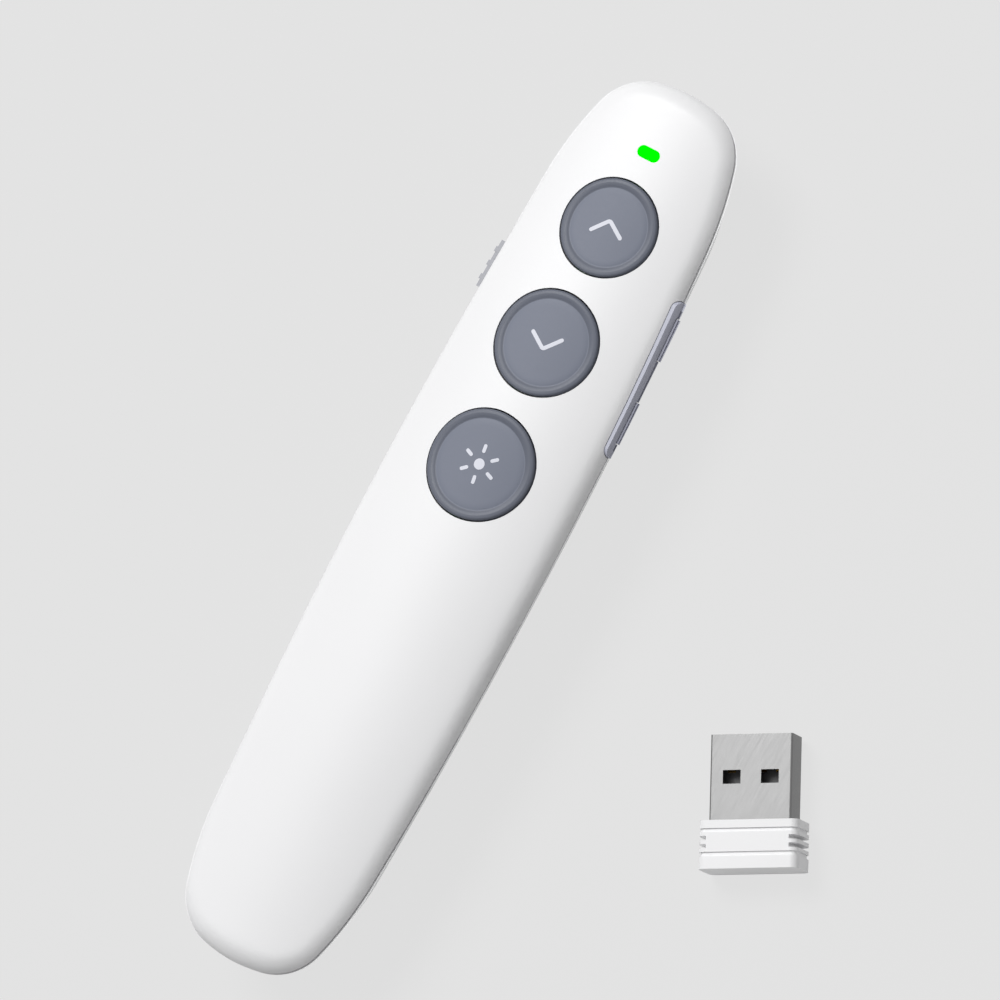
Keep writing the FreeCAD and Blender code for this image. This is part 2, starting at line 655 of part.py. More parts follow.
# Battery holder: two bays open to the back, flanges under the rails and ears for the front screws
roof_under = s.board_bottom - s.holder_roof
bay_half = s.cell_radius + s.bay_fit
holder_half = bay_half + s.holder_wall
rail_side = s.rail_inner - s.slide_fit
dongle_half = s.dongle_width / 2 + s.slide_fit
plug_half = s.plug_width / 2 + s.slide_fit
thin_wall = s.holder_roof
wide_rear = web_rear - s.dongle_length - s.slide_fit
holder_blocks = [
    block("holder_cell", -holder_half, holder_half, web_rear, bay_front + s.holder_end, s.holder_bottom,
          s.board_bottom),
    block("holder_dongle", -dongle_half - thin_wall, dongle_half + thin_wall, wide_rear - thin_wall, web_rear,
          s.holder_bottom, s.board_bottom),
    block("holder_plug", -plug_half - thin_wall, plug_half + thin_wall, receiver_bay_rear - thin_wall, web_rear,
          s.holder_bottom, s.board_bottom),
]
for i, side in enumerate((-1, 1)):
    def mirrored(x0, x1):
        return (x0, x1) if side > 0 else (-x1, -x0)
    for label, x0, x1, z1 in (("skirt", holder_half, rail_side - s.holder_wall, s.board_bottom),
                              ("flange", rail_side - s.holder_wall, s.flange_outer,
                               s.rail_bottom - s.slide_fit)):
        left, right = mirrored(x0, x1)
        holder_blocks.append(block("holder_%s_%d" % (label, i), left, right, bay_rear, bay_front,
                                   s.rail_bottom - s.slide_fit - s.flange_height, z1))
    left, right = mirrored(s.screw_front_x - s.ear_width / 2, s.screw_front_x + s.ear_width / 2)
    holder_blocks.append(block("holder_ear_%d" % i, left, right, bay_front, bay_front + s.ear_length, roof_under,
                               s.board_bottom))
holder_cuts = [
    block("cell_bay", -bay_half, bay_half, bay_rear, bay_front, sized(0), roof_under),
    block("dongle_bay", -dongle_half, dongle_half, wide_rear, web_rear, sized(0), roof_under),
    block("plug_bay", -plug_half, plug_half, receiver_bay_rear, web_rear, sized(0), roof_under),
    rod("rear_well", 0, screw_rear_y, sized(0), s.screw_head_radius + s.slide_fit,
        s.screw_rear_head + s.screw_head_height),
    rod("rear_hole", 0, screw_rear_y, sized(0), s.screw_radius + s.slide_fit / 2, s.parting_height),
]
for i, (x, y) in enumerate(front_screws):
    holder_cuts.append(rod("ear_hole_%d" % i, x, y, sized(0), s.screw_radius + s.slide_fit / 2, s.parting_height))
piece("battery_holder", cut("battery_holder", fuse("holder_body", *holder_blocks), *holder_cuts))

# Case screws: round heads below, shanks up into the bosses
shanks = []
for i, (x, y, head_under) in enumerate([(x, y, s.screw_front_head) for x, y in front_screws]
                                       + [(sized(0), screw_rear_y, s.screw_rear_head)]):
    shanks.append(rod("screw_head_%d" % i, x, y, head_under, s.screw_head_radius, s.screw_head_height))
    shanks.append(rod("screw_shank_%d" % i, x, y, head_under, s.screw_radius, s.screw_top - head_under))
recess = []
for i, (x, y, head_under) in enumerate([(x, y, s.screw_front_head) for x, y in front_screws]
                                       + [(sized(0), screw_rear_y, s.screw_rear_head)]):
    for label, half_x, half_y in (("a", 0.3, 1.1), ("b", 1.1, 0.3)):
        recess.append(block("recess_%d_%s" % (i, label), x - half_x, x + half_x, y - half_y, y + half_y,
                            head_under, head_under + s.screw_head_height / 2))
piece("case_screws", cut("case_screws", fuse("screw_blanks", *shanks), *recess))

# Circuit board with its nose and the two notches that the front bosses pass through
half_board = s.board_width / 2
half_nose = s.board_nose_width / 2
board_rear = board_front - s.board_length
nose_start = board_front - s.board_nose_length
board_plan = [(-half_board, board_rear), (half_board, board_rear), (half_board, nose_start),
              (half_nose, board_front), (-half_nose, board_front), (-half_board, nose_start)]
board_blank = padded("board_blank", board_plan, s.board_bottom, s.board_thickness)
board_holes = [rod("board_hole_%d" % i, x, y, s.board_bottom - 1, s.boss_radius + s.slide_fit / 2, s.board_thickness + 2)
               for i, (x, y) in enumerate(front_screws)]
piece("main_board", cut("main_board", board_blank, *board_holes))

# Buttons: crowned caps with a shallow hollow, a stem and two keepers under the shell
for name, y, radius in BUTTONS:
    edge = radius - s.button_gap
    skirt = crown_height(y) - s.button_skirt
    disc = rod(name + "_disc", 0, y, skirt, edge, s.body_height)
    domed = common(name + "_domed", disc, crown(name + "_crown", -s.button_proud))
    width = 2 * (radius.number - s.button_gap.number) - 0.2
    level = s.parting_height.number + 1.5
    domed = rounded(name + "_edged", domed, s.button_edge,
                    lambda rim: rim.BoundBox.XLength > width and rim.BoundBox.ZMin > level)
    dish = cut(name + "_dish", rod(name + "_dish_rod", 0, y, skirt, edge - s.dish_rim, s.body_height),
               crown(name + "_dish_floor", s.dish_depth - s.button_proud))
    hollow = rod(name + "_hollow", 0, y, skirt - 1, edge - s.button_wall, s.button_skirt - s.button_roof + 1)
    stem = common(name + "_stem", rod(name + "_stem_rod", 0, y, s.plunger_top, s.stem_radius,
                                      s.body_height - s.plunger_top),
                  crown(name + "_stem_top", s.dish_depth))
    keepers = [block("%s_keeper_%d" % (name, i), -s.tab_width / 2, s.tab_width / 2,
                     y + (edge - s.button_wall) * side if side > 0 else y - edge - s.tab_reach,
                     y + edge + s.tab_reach if side > 0 else y - edge + s.button_wall,
                     skirt, skirt + s.tab_height)
               for i, side in enumerate((-1, 1))]
    cap = cut(name + "_cap", domed, dish, hollow)
    piece(name + "_button", fuse(name + "_button", cap, stem, *keepers))
    side_half = s.switch_side / 2
    switch = padded(name + "_switch_blank",
                    [(-side_half, y - side_half), (side_half, y - side_half), (side_half, y + side_half),
                     (-side_half, y + side_half)], board_top, s.switch_height)
    well = rod(name + "_switch_well", 0, y, board_top, s.plunger_radius + s.key_fit, 2 * s.switch_height)
    piece(name + "_switch", cut(name + "_switch", switch, well))
    plunger_bottom = board_top + s.switch_height - s.plunger_sunk
    piece(name + "_plunger", rod(name + "_plunger", 0, y, plunger_bottom, s.plunger_radius,
                                 s.plunger_top - plunger_bottom))

# Status light: diode on the board and a clear pipe up to the shell
diode_half = s.led_length / 2
piece("status_led", padded("status_led", [(-diode_half, led_y - s.led_width / 2),
                                          (diode_half, led_y - s.led_width / 2),
                                          (diode_half, led_y + s.led_width / 2),
                                          (-diode_half, led_y + s.led_width / 2)], board_top, s.led_height))
pipe = slot_up("pipe_body", sized(0), led_y, s.light_length - s.key_fit, s.light_width - s.key_fit,
               s.light_flange_bottom, s.body_height)
pipe_flange = slot_up("pipe_flange", sized(0), led_y, s.light_length + 2 * s.light_flange,
                      s.light_width + 2 * s.light_flange, s.light_flange_bottom,
                      s.light_flange_bottom + s.light_flange_height)
piece("light_pipe", common("light_pipe", fuse("pipe_blank", pipe, pipe_flange), crown("pipe_top", 0.0)))

# Radio chip and clock crystal on the board
chip_half = s.chip_side / 2
chip_y = page_down_y - s.laser_step / 2
piece("radio_chip", padded("radio_chip", [(-chip_half, chip_y - chip_half), (chip_half, chip_y - chip_half),
                                          (chip_half, chip_y + chip_half), (-chip_half, chip_y + chip_half)],
                           board_top, s.chip_height))
crystal_y = page_down_y + s.crystal_step
piece("clock_crystal", padded("clock_crystal",
                              [(-s.crystal_length / 2, crystal_y - s.crystal_width / 2),
                               (s.crystal_length / 2, crystal_y - s.crystal_width / 2),
                               (s.crystal_length / 2, crystal_y + s.crystal_width / 2),
                               (-s.crystal_length / 2, crystal_y + s.crystal_width / 2)],
                              board_top, s.crystal_height))

# Side key strip, its two keys and their switches
KEYS = (("lower", strip_start + s.key_lower_step), ("upper", strip_start + s.key_upper_step))
strip_bar = slot_across("strip_bar", strip_start, strip_end, s.strip_middle, s.strip_height, s.strip_inner, SIDE)
strip_cuts = [cut("strip_groove", block("strip_groove_bar", 0, SIDE, strip_start + s.strip_height / 2,
                                        strip_end - s.strip_height / 2,
                                        s.strip_middle - s.strip_groove_width / 2,
                                        s.strip_middle + s.strip_groove_width / 2), outer_top, outer_low)]
for name, y in KEYS:
    gap = s.key_fit
    strip_cuts.append(block("key_gap_" + name, 0, SIDE, y - s.key_length / 2 - gap, y + s.key_length / 2 + gap,
                            s.key_middle - s.key_height / 2 - gap, s.key_middle + s.key_height / 2 + gap))
piece("side_strip", cut("side_strip", common("strip_blank", strip_bar, strip_skin), *strip_cuts))
for name, y in KEYS:
    key = common("key_%s_head" % name,
                 block("key_%s_block" % name, s.key_inner, SIDE, y - s.key_length / 2, y + s.key_length / 2,
                       s.key_middle - s.key_height / 2, s.key_middle + s.key_height / 2), key_skin)
    stem_top = s.side_plunger_bottom + s.side_plunger_height
    stem = block("key_%s_stem" % name, s.key_stem_inner, s.key_inner, y - s.key_stem_width / 2,
                 y + s.key_stem_width / 2, s.side_plunger_bottom, stem_top)
    piece("side_key_" + name, fuse("side_key_" + name, key, stem))
    body = block("side_switch_%s_body" % name, s.side_switch_inner, s.side_switch_outer,
                 y - s.side_switch_length / 2, y + s.side_switch_length / 2, board_top,
                 board_top + s.side_switch_height)
    deep = s.side_switch_outer - s.side_plunger_sunk - s.key_travel - s.slide_fit
    well = block("side_switch_%s_well" % name, deep, SIDE, y - s.side_plunger_width / 2 - s.key_fit,
                 y + s.side_plunger_width / 2 + s.key_fit, board_top, stem_top + s.key_fit)
    piece("side_switch_" + name, cut("side_switch_" + name, body, well))
    piece("side_plunger_" + name, block("side_plunger_" + name, s.side_switch_outer - s.side_plunger_sunk,
                                        s.key_stem_inner, y - s.side_plunger_width / 2,
                                        y + s.side_plunger_width / 2, s.side_plunger_bottom, stem_top))

# Power slide with its ribs and shield plate, the lever and the switch that it works
knob_block = block("knob_block", -SIDE, -s.knob_inner + s.shield_thickness, knob_y - s.knob_length / 2,
                   knob_y + s.knob_length / 2, knob_bottom, knob_top)
ribs = [block("knob_rib_%d" % i, -SIDE, -s.knob_inner, knob_y + s.knob_rib_pitch * i - s.knob_rib_width / 2,
              knob_y + s.knob_rib_pitch * i + s.knob_rib_width / 2, knob_bottom, knob_top)
        for i in (-1, 0, 1)]
shield = block("knob_shield", -s.knob_inner, -s.knob_inner + s.shield_thickness,
               knob_y - s.knob_length / 2 - s.knob_travel - 2 * s.slide_fit,
               knob_y + s.knob_length / 2 + s.knob_travel + 2 * s.slide_fit,
               knob_bottom - s.shield_margin, s.lever_bottom + s.lever_height + s.key_fit)
piece("power_slide_knob", fuse("power_slide_knob", common("knob_face", knob_block, strip_skin),
                               common("knob_ribs", fuse("knob_rib_set", *ribs), key_skin), shield))
piece("power_switch_lever", block("power_switch_lever", -s.knob_inner + s.shield_thickness,
                                  -s.power_switch_outer + s.lever_sunk, knob_y - s.lever_width / 2,
                                  knob_y + s.lever_width / 2, s.lever_bottom, s.lever_bottom + s.lever_height))
power_body = block("power_switch_block", -s.power_switch_outer, -s.power_switch_inner,
                   knob_y + (s.knob_travel - s.power_switch_length) / 2,
                   knob_y + (s.knob_travel + s.power_switch_length) / 2, board_top,
                   board_top + s.power_switch_height)
lever_way = block("lever_way", -SIDE, -s.power_switch_outer + s.lever_sunk + s.key_fit,
                  knob_y - s.lever_width / 2 - s.slide_fit,
                  knob_y + s.lever_width / 2 + s.knob_travel + s.slide_fit, board_top,
                  s.lever_bottom + s.lever_height + s.key_fit)
piece("power_switch_body", cut("power_switch_body", power_body, lever_way))

# Laser: turned barrel with the lens in its mouth, and the window in the nose
lens_seat = s.barrel_length - s.lens_length
piece("laser_barrel", turned("laser_barrel", [(0, 0), (s.barrel_radius, 0), (s.barrel_radius, s.barrel_length),
                                              (s.lens_radius, s.barrel_length), (s.lens_radius, lens_seat),
                                              (0, lens_seat)], ALONG_Y))
piece("laser_lens", turned("laser_lens", [(0, 0), (s.lens_radius, 0), (s.lens_radius, s.lens_length / 2),
                                          (s.lens_radius / 2, s.lens_length * 0.85), (0, s.lens_length)], ALONG_Y))
for label, start in (("laser_barrel", barrel_rear), ("laser_lens", barrel_rear + lens_seat)):
    item = doc.getObject(label)
    bind(item, "Placement.Base.y", start)
    bind(item, "Placement.Base.z", s.laser_height)
piece("laser_window", common("laser_window", rod("window_rod", 0, barrel_front + s.slide_fit, s.laser_height,
                                                 s.window_radius, SIDE, ALONG_Y), middle_low))

# Cell and its two contacts
can_length = s.cell_length - s.cell_button_height
cell = turned("aaa_cell", [(0, 0), (s.cell_radius, 0), (s.cell_radius, can_length),
                           (s.cell_button_radius, can_length), (s.cell_button_radius, s.cell_length),
                           (0, s.cell_length)], ALONG_Y)
bind(cell, "Placement.Base.y", cell_rear)
bind(cell, "Placement.Base.z", s.cell_height)
piece("aaa_cell", cell)
half_contact = s.contact_width / 2
piece("battery_plate_contact", block("battery_plate_contact", -half_contact, half_contact, cell_front, bay_front,
                                     s.cell_height - half_contact, s.cell_height + half_contact))
bow_radius = (s.spring_reach * s.spring_reach + half_contact * half_contact) / (2 * s.spring_reach)
bow_middle = cell_rear - bow_radius
bow = cut("contact_bow", rod("bow_outer", -half_contact, bow_middle, s.cell_height, bow_radius, s.contact_width, ALONG_X),
          rod("bow_inner", -half_contact, bow_middle, s.cell_height, bow_radius - s.contact_thickness, s.contact_width,
              ALONG_X))
bow_room = block("bow_room", -SIDE, SIDE, bay_rear + s.contact_thickness / 2, cell_front, sized(0), s.body_height)
piece("battery_spring_contact", fuse("battery_spring_contact", common("contact_front", bow, bow_room),
                                     block("contact_base", -half_contact, half_contact, bay_rear,
                                           bay_rear + s.contact_thickness, s.cell_height - half_contact,
                                           s.cell_height + half_contact)))

# Receiver: banded body, folded plug with windows, contact carrier and strips, lying beside the clicker
bands = ((sized(0), s.dongle_groove_upper),
         (s.dongle_groove_upper + s.dongle_groove_upper_width, s.dongle_groove_lower),
         (s.dongle_groove_lower + s.dongle_groove_lower_width, s.dongle_length))


def dongle_bar(name, y0, y1, inset):
    """A length of the receiver body with rounded long edges, drawn in by an inset."""
    half = s.dongle_width / 2 - inset
    bar = block(name + "_bar", -half, half, -sized(y1), -sized(y0), sized(inset), s.dongle_thickness - inset)

    def is_long(edge):
        box = edge.BoundBox
        return box.XLength < 1e-4 and box.ZLength < 1e-4

    return rounded(name, bar, s.dongle_corner - inset, is_long)


parts = [dongle_bar("dongle_band_%d" % i, y0, y1, 0.0) for i, (y0, y1) in enumerate(bands)]
parts.append(dongle_bar("dongle_core", sized(0), s.dongle_length, s.dongle_groove))
notches = []
for i in range(2):
    y = -(s.dongle_notch_first + s.dongle_notch_pitch * i)
    for j, side in enumerate((-1, 1)):
        inner, outer = s.dongle_width / 2 - s.dongle_notch, s.dongle_width
        x0, x1 = (inner, outer) if side > 0 else (-outer, -inner)
        notches.append(block("notch_%d_%d" % (i, j), x0, x1, y - s.dongle_notch_width, y, sized(-1),
                             s.dongle_thickness + 1))
plug_low = (s.dongle_thickness - s.plug_thickness) / 2
plug_high = plug_low + s.plug_thickness
half_plug = s.plug_width / 2
sheet_in = s.plug_sheet
plug_bar = block("plug_bar", -half_plug, half_plug, sized(0), s.plug_length, plug_low, plug_high)
plug_round = rounded("plug_round", plug_bar, s.plug_sheet,
                     lambda edge: edge.BoundBox.XLength < 1e-4 and edge.BoundBox.ZLength < 1e-4)
plug_cuts = [block("plug_room", -half_plug + sheet_in, half_plug - sheet_in, sized(-1), s.plug_length + 1,
                   plug_low + sheet_in, plug_high - sheet_in)]
for i, side in enumerate((-1, 1)):
    x = s.plug_window_x * side
    plug_cuts.append(block("plug_window_%d" % i, x - s.plug_window_width / 2, x + s.plug_window_width / 2,
                           s.plug_window_y, s.plug_window_y + s.plug_window_length, sized(-1),
                           s.dongle_thickness + 1))
tongue_low = plug_low + sheet_in
tongue_top = tongue_low + s.tongue_thickness
pins = []
for i, x in enumerate((-s.pin_outer_x, -s.pin_inner_x, s.pin_inner_x, s.pin_outer_x)):
    pins.append(block("pin_%d" % i, x - s.pin_width / 2, x + s.pin_width / 2,
                      s.plug_length - s.tongue_inset - s.pin_setback - s.pin_length, s.plug_length - s.tongue_inset - s.pin_setback,
                      tongue_top, tongue_top + s.pin_thickness))
tongue_bar = block("tongue_bar", -s.tongue_width / 2, s.tongue_width / 2, sized(0),
                   s.plug_length - s.tongue_inset, tongue_low, tongue_top)
tongue_tip = s.plug_length.number - s.tongue_inset.number


def is_tongue_tip(edge):
    box = edge.BoundBox
    return box.YMin > tongue_tip - 1e-4 and box.YLength < 1e-4 and box.ZLength < 1e-4


receiver = [
    piece("receiver_body", cut("receiver_body", fuse("dongle_parts", *parts), *notches)),
    piece("receiver_plug", cut("receiver_plug", plug_round, *plug_cuts)),
    piece("receiver_tongue", rounded("receiver_tongue", tongue_bar, s.tongue_edge, is_tongue_tip)),
    piece("receiver_contacts", fuse("receiver_contacts", *pins)),
]
doc.recompute()
turn = FreeCAD.Placement(V(s.dongle_x.number, s.dongle_y.number, 0), FreeCAD.Rotation(V(0, 0, 1), s.dongle_turn.number))
for item in receiver:
    item.Placement = turn.multiply(item.Placement)

doc.recompute()
os.makedirs("parts", exist_ok=True)
for item in doc.Objects:
    if "Invalid" in item.State or "Error" in item.State:
        raise RuntimeError("%s did not build: %s" % (item.Name, item.State))
for item in PIECES:
    if item.Shape.isNull() or not item.Shape.isValid():
        raise RuntimeError("%s has no valid shape" % item.Label)
for item in PIECES:
    item.Shape.exportStep("parts/%s.step" % item.Label)
    print("%-26s %2d solid %9.2f mm3" % (item.Label, len(item.Shape.Solids), item.Shape.Volume))
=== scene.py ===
"""A white hand-held presentation clicker and its plug-in receiver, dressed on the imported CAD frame."""

import json
import math

import bmesh
import bpy
from bpy.props import FloatProperty, FloatVectorProperty, IntProperty, PointerProperty
from mathutils import Matrix, Vector
from mathutils.bvhtree import BVHTree

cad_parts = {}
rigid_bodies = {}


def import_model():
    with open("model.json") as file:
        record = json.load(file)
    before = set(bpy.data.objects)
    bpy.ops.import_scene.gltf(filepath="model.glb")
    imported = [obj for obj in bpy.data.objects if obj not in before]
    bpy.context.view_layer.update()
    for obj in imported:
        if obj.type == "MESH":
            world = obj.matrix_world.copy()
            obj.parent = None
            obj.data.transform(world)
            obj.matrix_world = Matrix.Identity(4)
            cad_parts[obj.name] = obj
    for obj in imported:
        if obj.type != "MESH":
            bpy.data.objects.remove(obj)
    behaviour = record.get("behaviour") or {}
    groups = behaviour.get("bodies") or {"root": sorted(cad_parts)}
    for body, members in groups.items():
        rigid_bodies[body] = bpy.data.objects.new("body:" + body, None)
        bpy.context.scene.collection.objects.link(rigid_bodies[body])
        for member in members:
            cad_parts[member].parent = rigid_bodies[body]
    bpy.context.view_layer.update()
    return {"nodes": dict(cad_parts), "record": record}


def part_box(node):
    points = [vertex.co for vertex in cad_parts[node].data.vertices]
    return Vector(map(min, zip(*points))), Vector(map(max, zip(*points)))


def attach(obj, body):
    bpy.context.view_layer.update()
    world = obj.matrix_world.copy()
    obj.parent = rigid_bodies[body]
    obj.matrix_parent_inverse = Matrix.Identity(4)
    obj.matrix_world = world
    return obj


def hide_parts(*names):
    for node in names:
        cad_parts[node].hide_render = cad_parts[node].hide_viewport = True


bl_info = {
    "name": "Presentation Clicker",
    "version": (1, 0, 0),
    "blender": (4, 5, 0),
    "location": "3D View > Sidebar > Clicker",
    "description": "Finishes, button signs, grip ribs and stage for a presentation clicker",
    "category": "Object",
}

MM = 0.001
ROUND = 96                        # facets round a button cap
FLOOR_HALF = 3.0                  # metres from the middle of the floor to its edge
FLOOR_SHOWN = 0.92                # share of the floor seen at its written colour, the rest takes shadow
KEY_PLACE, KEY_SIZE = (-0.84, 0.52, 1.64), 0.85
TOP_PLACE, TOP_SIZE = (-0.10, 0.0, 0.95), 0.80
AIM = (4.57 * MM, 6.0 * MM, 17.38 * MM)
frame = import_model()
NODES = frame["nodes"]


def linear(text):
    """An sRGB hex colour as linear values."""
    parts = [int(text[i:i + 2], 16) / 255 for i in (1, 3, 5)]
    return tuple(c / 12.92 if c <= 0.04045 else ((c + 0.055) / 1.055) ** 2.4 for c in parts)


def colour(label, words, text):
    return FloatVectorProperty(name=label, description=words, default=linear(text), subtype="COLOR",
                               size=3, min=0, max=1)


def length(label, words, default):
    return FloatProperty(name=label, description=words, default=default, unit="LENGTH", min=0, precision=5)


class CLICKER_PG_colours(bpy.types.PropertyGroup):
    """Colours of the mouldings"""

    shell: colour("Shell", "Upper shell, lower shell, battery cover and receiver body", "#F3F3F4")
    button: colour("Buttons", "The three round thumb buttons", "#797E8C")
    sign: colour("Signs", "Printed signs on the buttons", "#DEE0EA")
    strip: colour("Side strip", "Inlay that frames the side keys", "#B8BAC8")
    key: colour("Side keys", "The two keys in the side strip", "#8A8C9C")
    slide: colour("Power slide", "The ribbed power slide", "#A5A6AC")
    light: colour("Status light", "Light pipe when lit", "#00FF00")


class CLICKER_PG_signs(bpy.types.PropertyGroup):
    """Sizes of the printed signs"""

    turn: FloatProperty(name="Turn", description="Signs turned on their buttons", default=math.radians(8.8),
                        subtype="ANGLE", unit="ROTATION")
    arm: length("Chevron arm", "Length of one arm of a chevron along its middle line", 3.0 * MM)
    opening: FloatProperty(name="Chevron opening", description="Angle between the two arms",
                           default=math.radians(98), subtype="ANGLE", unit="ROTATION")
    stroke: length("Chevron stroke", "Width of a chevron's line", 0.58 * MM)
    bend: length("Chevron bend", "Radius of the line where it turns", 0.36 * MM)
    dot: length("Dot", "Radius of the sun's middle", 0.80 * MM)
    ray: length("Ray", "Length of a ray with its round ends", 1.30 * MM)
    ray_width: length("Ray width", "Width of a ray", 0.52 * MM)
    ray_middle: length("Ray place", "Middle of a ray from the middle of the sun", 2.31 * MM)
    rays: IntProperty(name="Rays", description="Number of rays", default=6, min=3, max=24)
    film: length("Ink", "Thickness of the printed ink", 0.03 * MM)


class CLICKER_PG_caps(bpy.types.PropertyGroup):
    """Sizes of the thumb buttons' caps"""

    rim: length("Rim", "Rim round the dished middle", 1.30 * MM)
    dish: length("Dish", "Depth of the dished middle under the rim", 0.16 * MM)
    crease: length("Crease", "Width of the soft crease between rim and middle", 0.42 * MM)
    crease_depth: length("Crease depth", "Depth of the crease under the middle", 0.07 * MM)
    cap_edge: length("Edge", "Round of the outer edge", 0.35 * MM)
    cap_wall: length("Wall", "Wall of the cap", 1.3 * MM)
    stem: length("Stem", "Radius of the stem", 1.6 * MM)
    bow_across: length("Bow across", "Radius of the crown across the body", 42.25 * MM)
    bow_along: length("Bow along", "Radius of the crown along the body", 1100.25 * MM)


class CLICKER_PG_grip(bpy.types.PropertyGroup):
    """Ribs in the battery cover's thumb recess"""

    count: IntProperty(name="Ribs", description="Number of ribs in the recess", default=4, min=1, max=12)
    pitch: length("Pitch", "From one rib to the next along the body", 1.9 * MM)
    width: length("Length", "Length of a rib across the body", 8.6 * MM)
    round: length("Round", "Radius of a rib's half-round section", 0.42 * MM)
    middle: length("Middle", "Middle of the recess along the body", 8.5 * MM)


class CLICKER_PG_stage(bpy.types.PropertyGroup):
    """Camera, lamps and floor"""

    side: FloatProperty(name="Side", description="Camera round from straight above, towards the side keys",
                        default=math.radians(21.5), subtype="ANGLE", unit="ROTATION")
    roll: FloatProperty(name="Roll", description="Clicker's middle line from upright in the picture",
                        default=math.radians(27.864), subtype="ANGLE", unit="ROTATION")
    span: length("Span", "Width of the picture at the clicker", 140.2 * MM)
    distance: length("Distance", "Camera from the clicker", 1.5)
    floor: colour("Floor", "Pale floor", "#E4E4E4")
    glow: FloatProperty(name="Floor glow", default=0.30, min=0, max=1,
                        description="Share of the floor's own light that reaches the clicker")
    floor_gap: length("Floor gap", "Floor below the flat back, so that the two faces don't meet", 0.05 * MM)
    key: FloatProperty(name="Key lamp", description="Strength of the soft lamp on the left", default=28.6,
                       unit="POWER")
    top: FloatProperty(name="Top lamp", description="Strength of the soft lamp above", default=0.8,
                       unit="POWER")
    sky: FloatProperty(name="Sky", description="Strength of the even light all round", default=0.20)


# Materials
def put(tree, kind, settings=None, **links):
    """Add a node with its settings; a link or value is given by the socket's name, or by n and its number."""
    item = tree.nodes.new(kind)
    for key, value in (settings or {}).items():
        setattr(item, key, value)
    for key, value in links.items():
        by_number = key[0] == "n" and key[1:].isdigit()
        socket = item.inputs[int(key[1:]) if by_number else key.replace("_", " ")]
        if isinstance(value, bpy.types.NodeSocket):
            tree.links.new(value, socket)
        else:
            socket.default_value = value
    return item


def start(name):
    made = bpy.data.materials.new(name)
    made.use_nodes = True
    made.node_tree.nodes.clear()
    return made, made.node_tree


def close(made, tree, shader):
    put(tree, "ShaderNodeOutputMaterial", Surface=shader.outputs[0])
    return made


def shade(tint, amount):
    """A colour made darker, or lighter with an amount above one."""
    return tuple(min(1.0, c * amount) for c in tint[:3]) + (1.0,)


def moulded(name, tint, roughness, grain, relief, specular=0.5, coat=0.0):
    """Injection-moulded plastic: even colour, a fine spark-eroded grain and a soft sheen."""
    made, tree = start(name)
    place = put(tree, "ShaderNodeTexCoord").outputs["Object"]
    fine = put(tree, "ShaderNodeTexNoise", Vector=place, Scale=1 / (grain * MM), Detail=2.0, Roughness=0.55)
    broad = put(tree, "ShaderNodeTexNoise", Vector=place, Scale=1 / (22 * MM), Detail=1.0, Roughness=0.4)
    tone = put(tree, "ShaderNodeMix", {"data_type": "RGBA"}, Factor=broad.outputs[0])
    tone.inputs[6].default_value = shade(tint, 0.985)
    tone.inputs[7].default_value = shade(tint, 1.015)
    dull = put(tree, "ShaderNodeMapRange", Value=fine.outputs[0], n1=0.3, n2=0.7, n3=roughness - 0.04,
               n4=roughness + 0.04)
    bump = put(tree, "ShaderNodeBump", Height=fine.outputs[0], Strength=relief, Distance=0.012 * MM)
    skin = put(tree, "ShaderNodeBsdfPrincipled", Base_Color=tone.outputs[2], Roughness=dull.outputs[0],
               Normal=bump.outputs[0], IOR=1.46, Coat_Weight=coat, Coat_Roughness=0.25)
    skin.inputs["Specular IOR Level"].default_value = specular
    return close(made, tree, skin)


def metal(name, tint, roughness, along, relief=0.15):
    """Bright or satin metal with fine lines that run along one axis."""
    made, tree = start(name)
    place = put(tree, "ShaderNodeTexCoord").outputs["Object"]
    across = [1 / (0.12 * MM)] * 3
    across["XYZ".index(along)] = 1 / (3.0 * MM)
    lines = put(tree, "ShaderNodeMapping", Vector=place, Scale=tuple(across))
    noise = put(tree, "ShaderNodeTexNoise", Vector=lines.outputs[0], Scale=1.0, Detail=2.0)
    dull = put(tree, "ShaderNodeMapRange", Value=noise.outputs[0], n1=0.3, n2=0.7, n3=roughness - 0.06,
               n4=roughness + 0.06)
    tone = put(tree, "ShaderNodeMix", {"data_type": "RGBA"}, Factor=noise.outputs[0])
    tone.inputs[6].default_value = shade(tint, 0.94)
    tone.inputs[7].default_value = shade(tint, 1.04)
    bump = put(tree, "ShaderNodeBump", Height=noise.outputs[0], Strength=relief, Distance=0.01 * MM)
    skin = put(tree, "ShaderNodeBsdfPrincipled", Base_Color=tone.outputs[2], Metallic=1.0,
               Roughness=dull.outputs[0], Normal=bump.outputs[0])
    return close(made, tree, skin)


def solder_mask(name, tint):
    """Green lacquered circuit board: faint tracks show as lighter lines under the gloss."""
    made, tree = start(name)
    place = put(tree, "ShaderNodeTexCoord").outputs["Object"]
    tracks = put(tree, "ShaderNodeTexVoronoi", {"distance": "MANHATTAN"}, Vector=place, Scale=1 / (2.4 * MM))
    edge = put(tree, "ShaderNodeValToRGB", Fac=tracks.outputs["Distance"])
    edge.color_ramp.elements[0].position = 0.42
    edge.color_ramp.elements[0].color = shade(tint, 1.0)
    edge.color_ramp.elements[1].position = 0.46
    edge.color_ramp.elements[1].color = shade(tint, 1.55)
    grain = put(tree, "ShaderNodeTexNoise", Vector=place, Scale=1 / (0.5 * MM))
    bump = put(tree, "ShaderNodeBump", Height=grain.outputs[0], Strength=0.2, Distance=0.01 * MM)
    skin = put(tree, "ShaderNodeBsdfPrincipled", Base_Color=edge.outputs[0], Roughness=0.28,
               Normal=bump.outputs[0], IOR=1.5)
    return close(made, tree, skin)


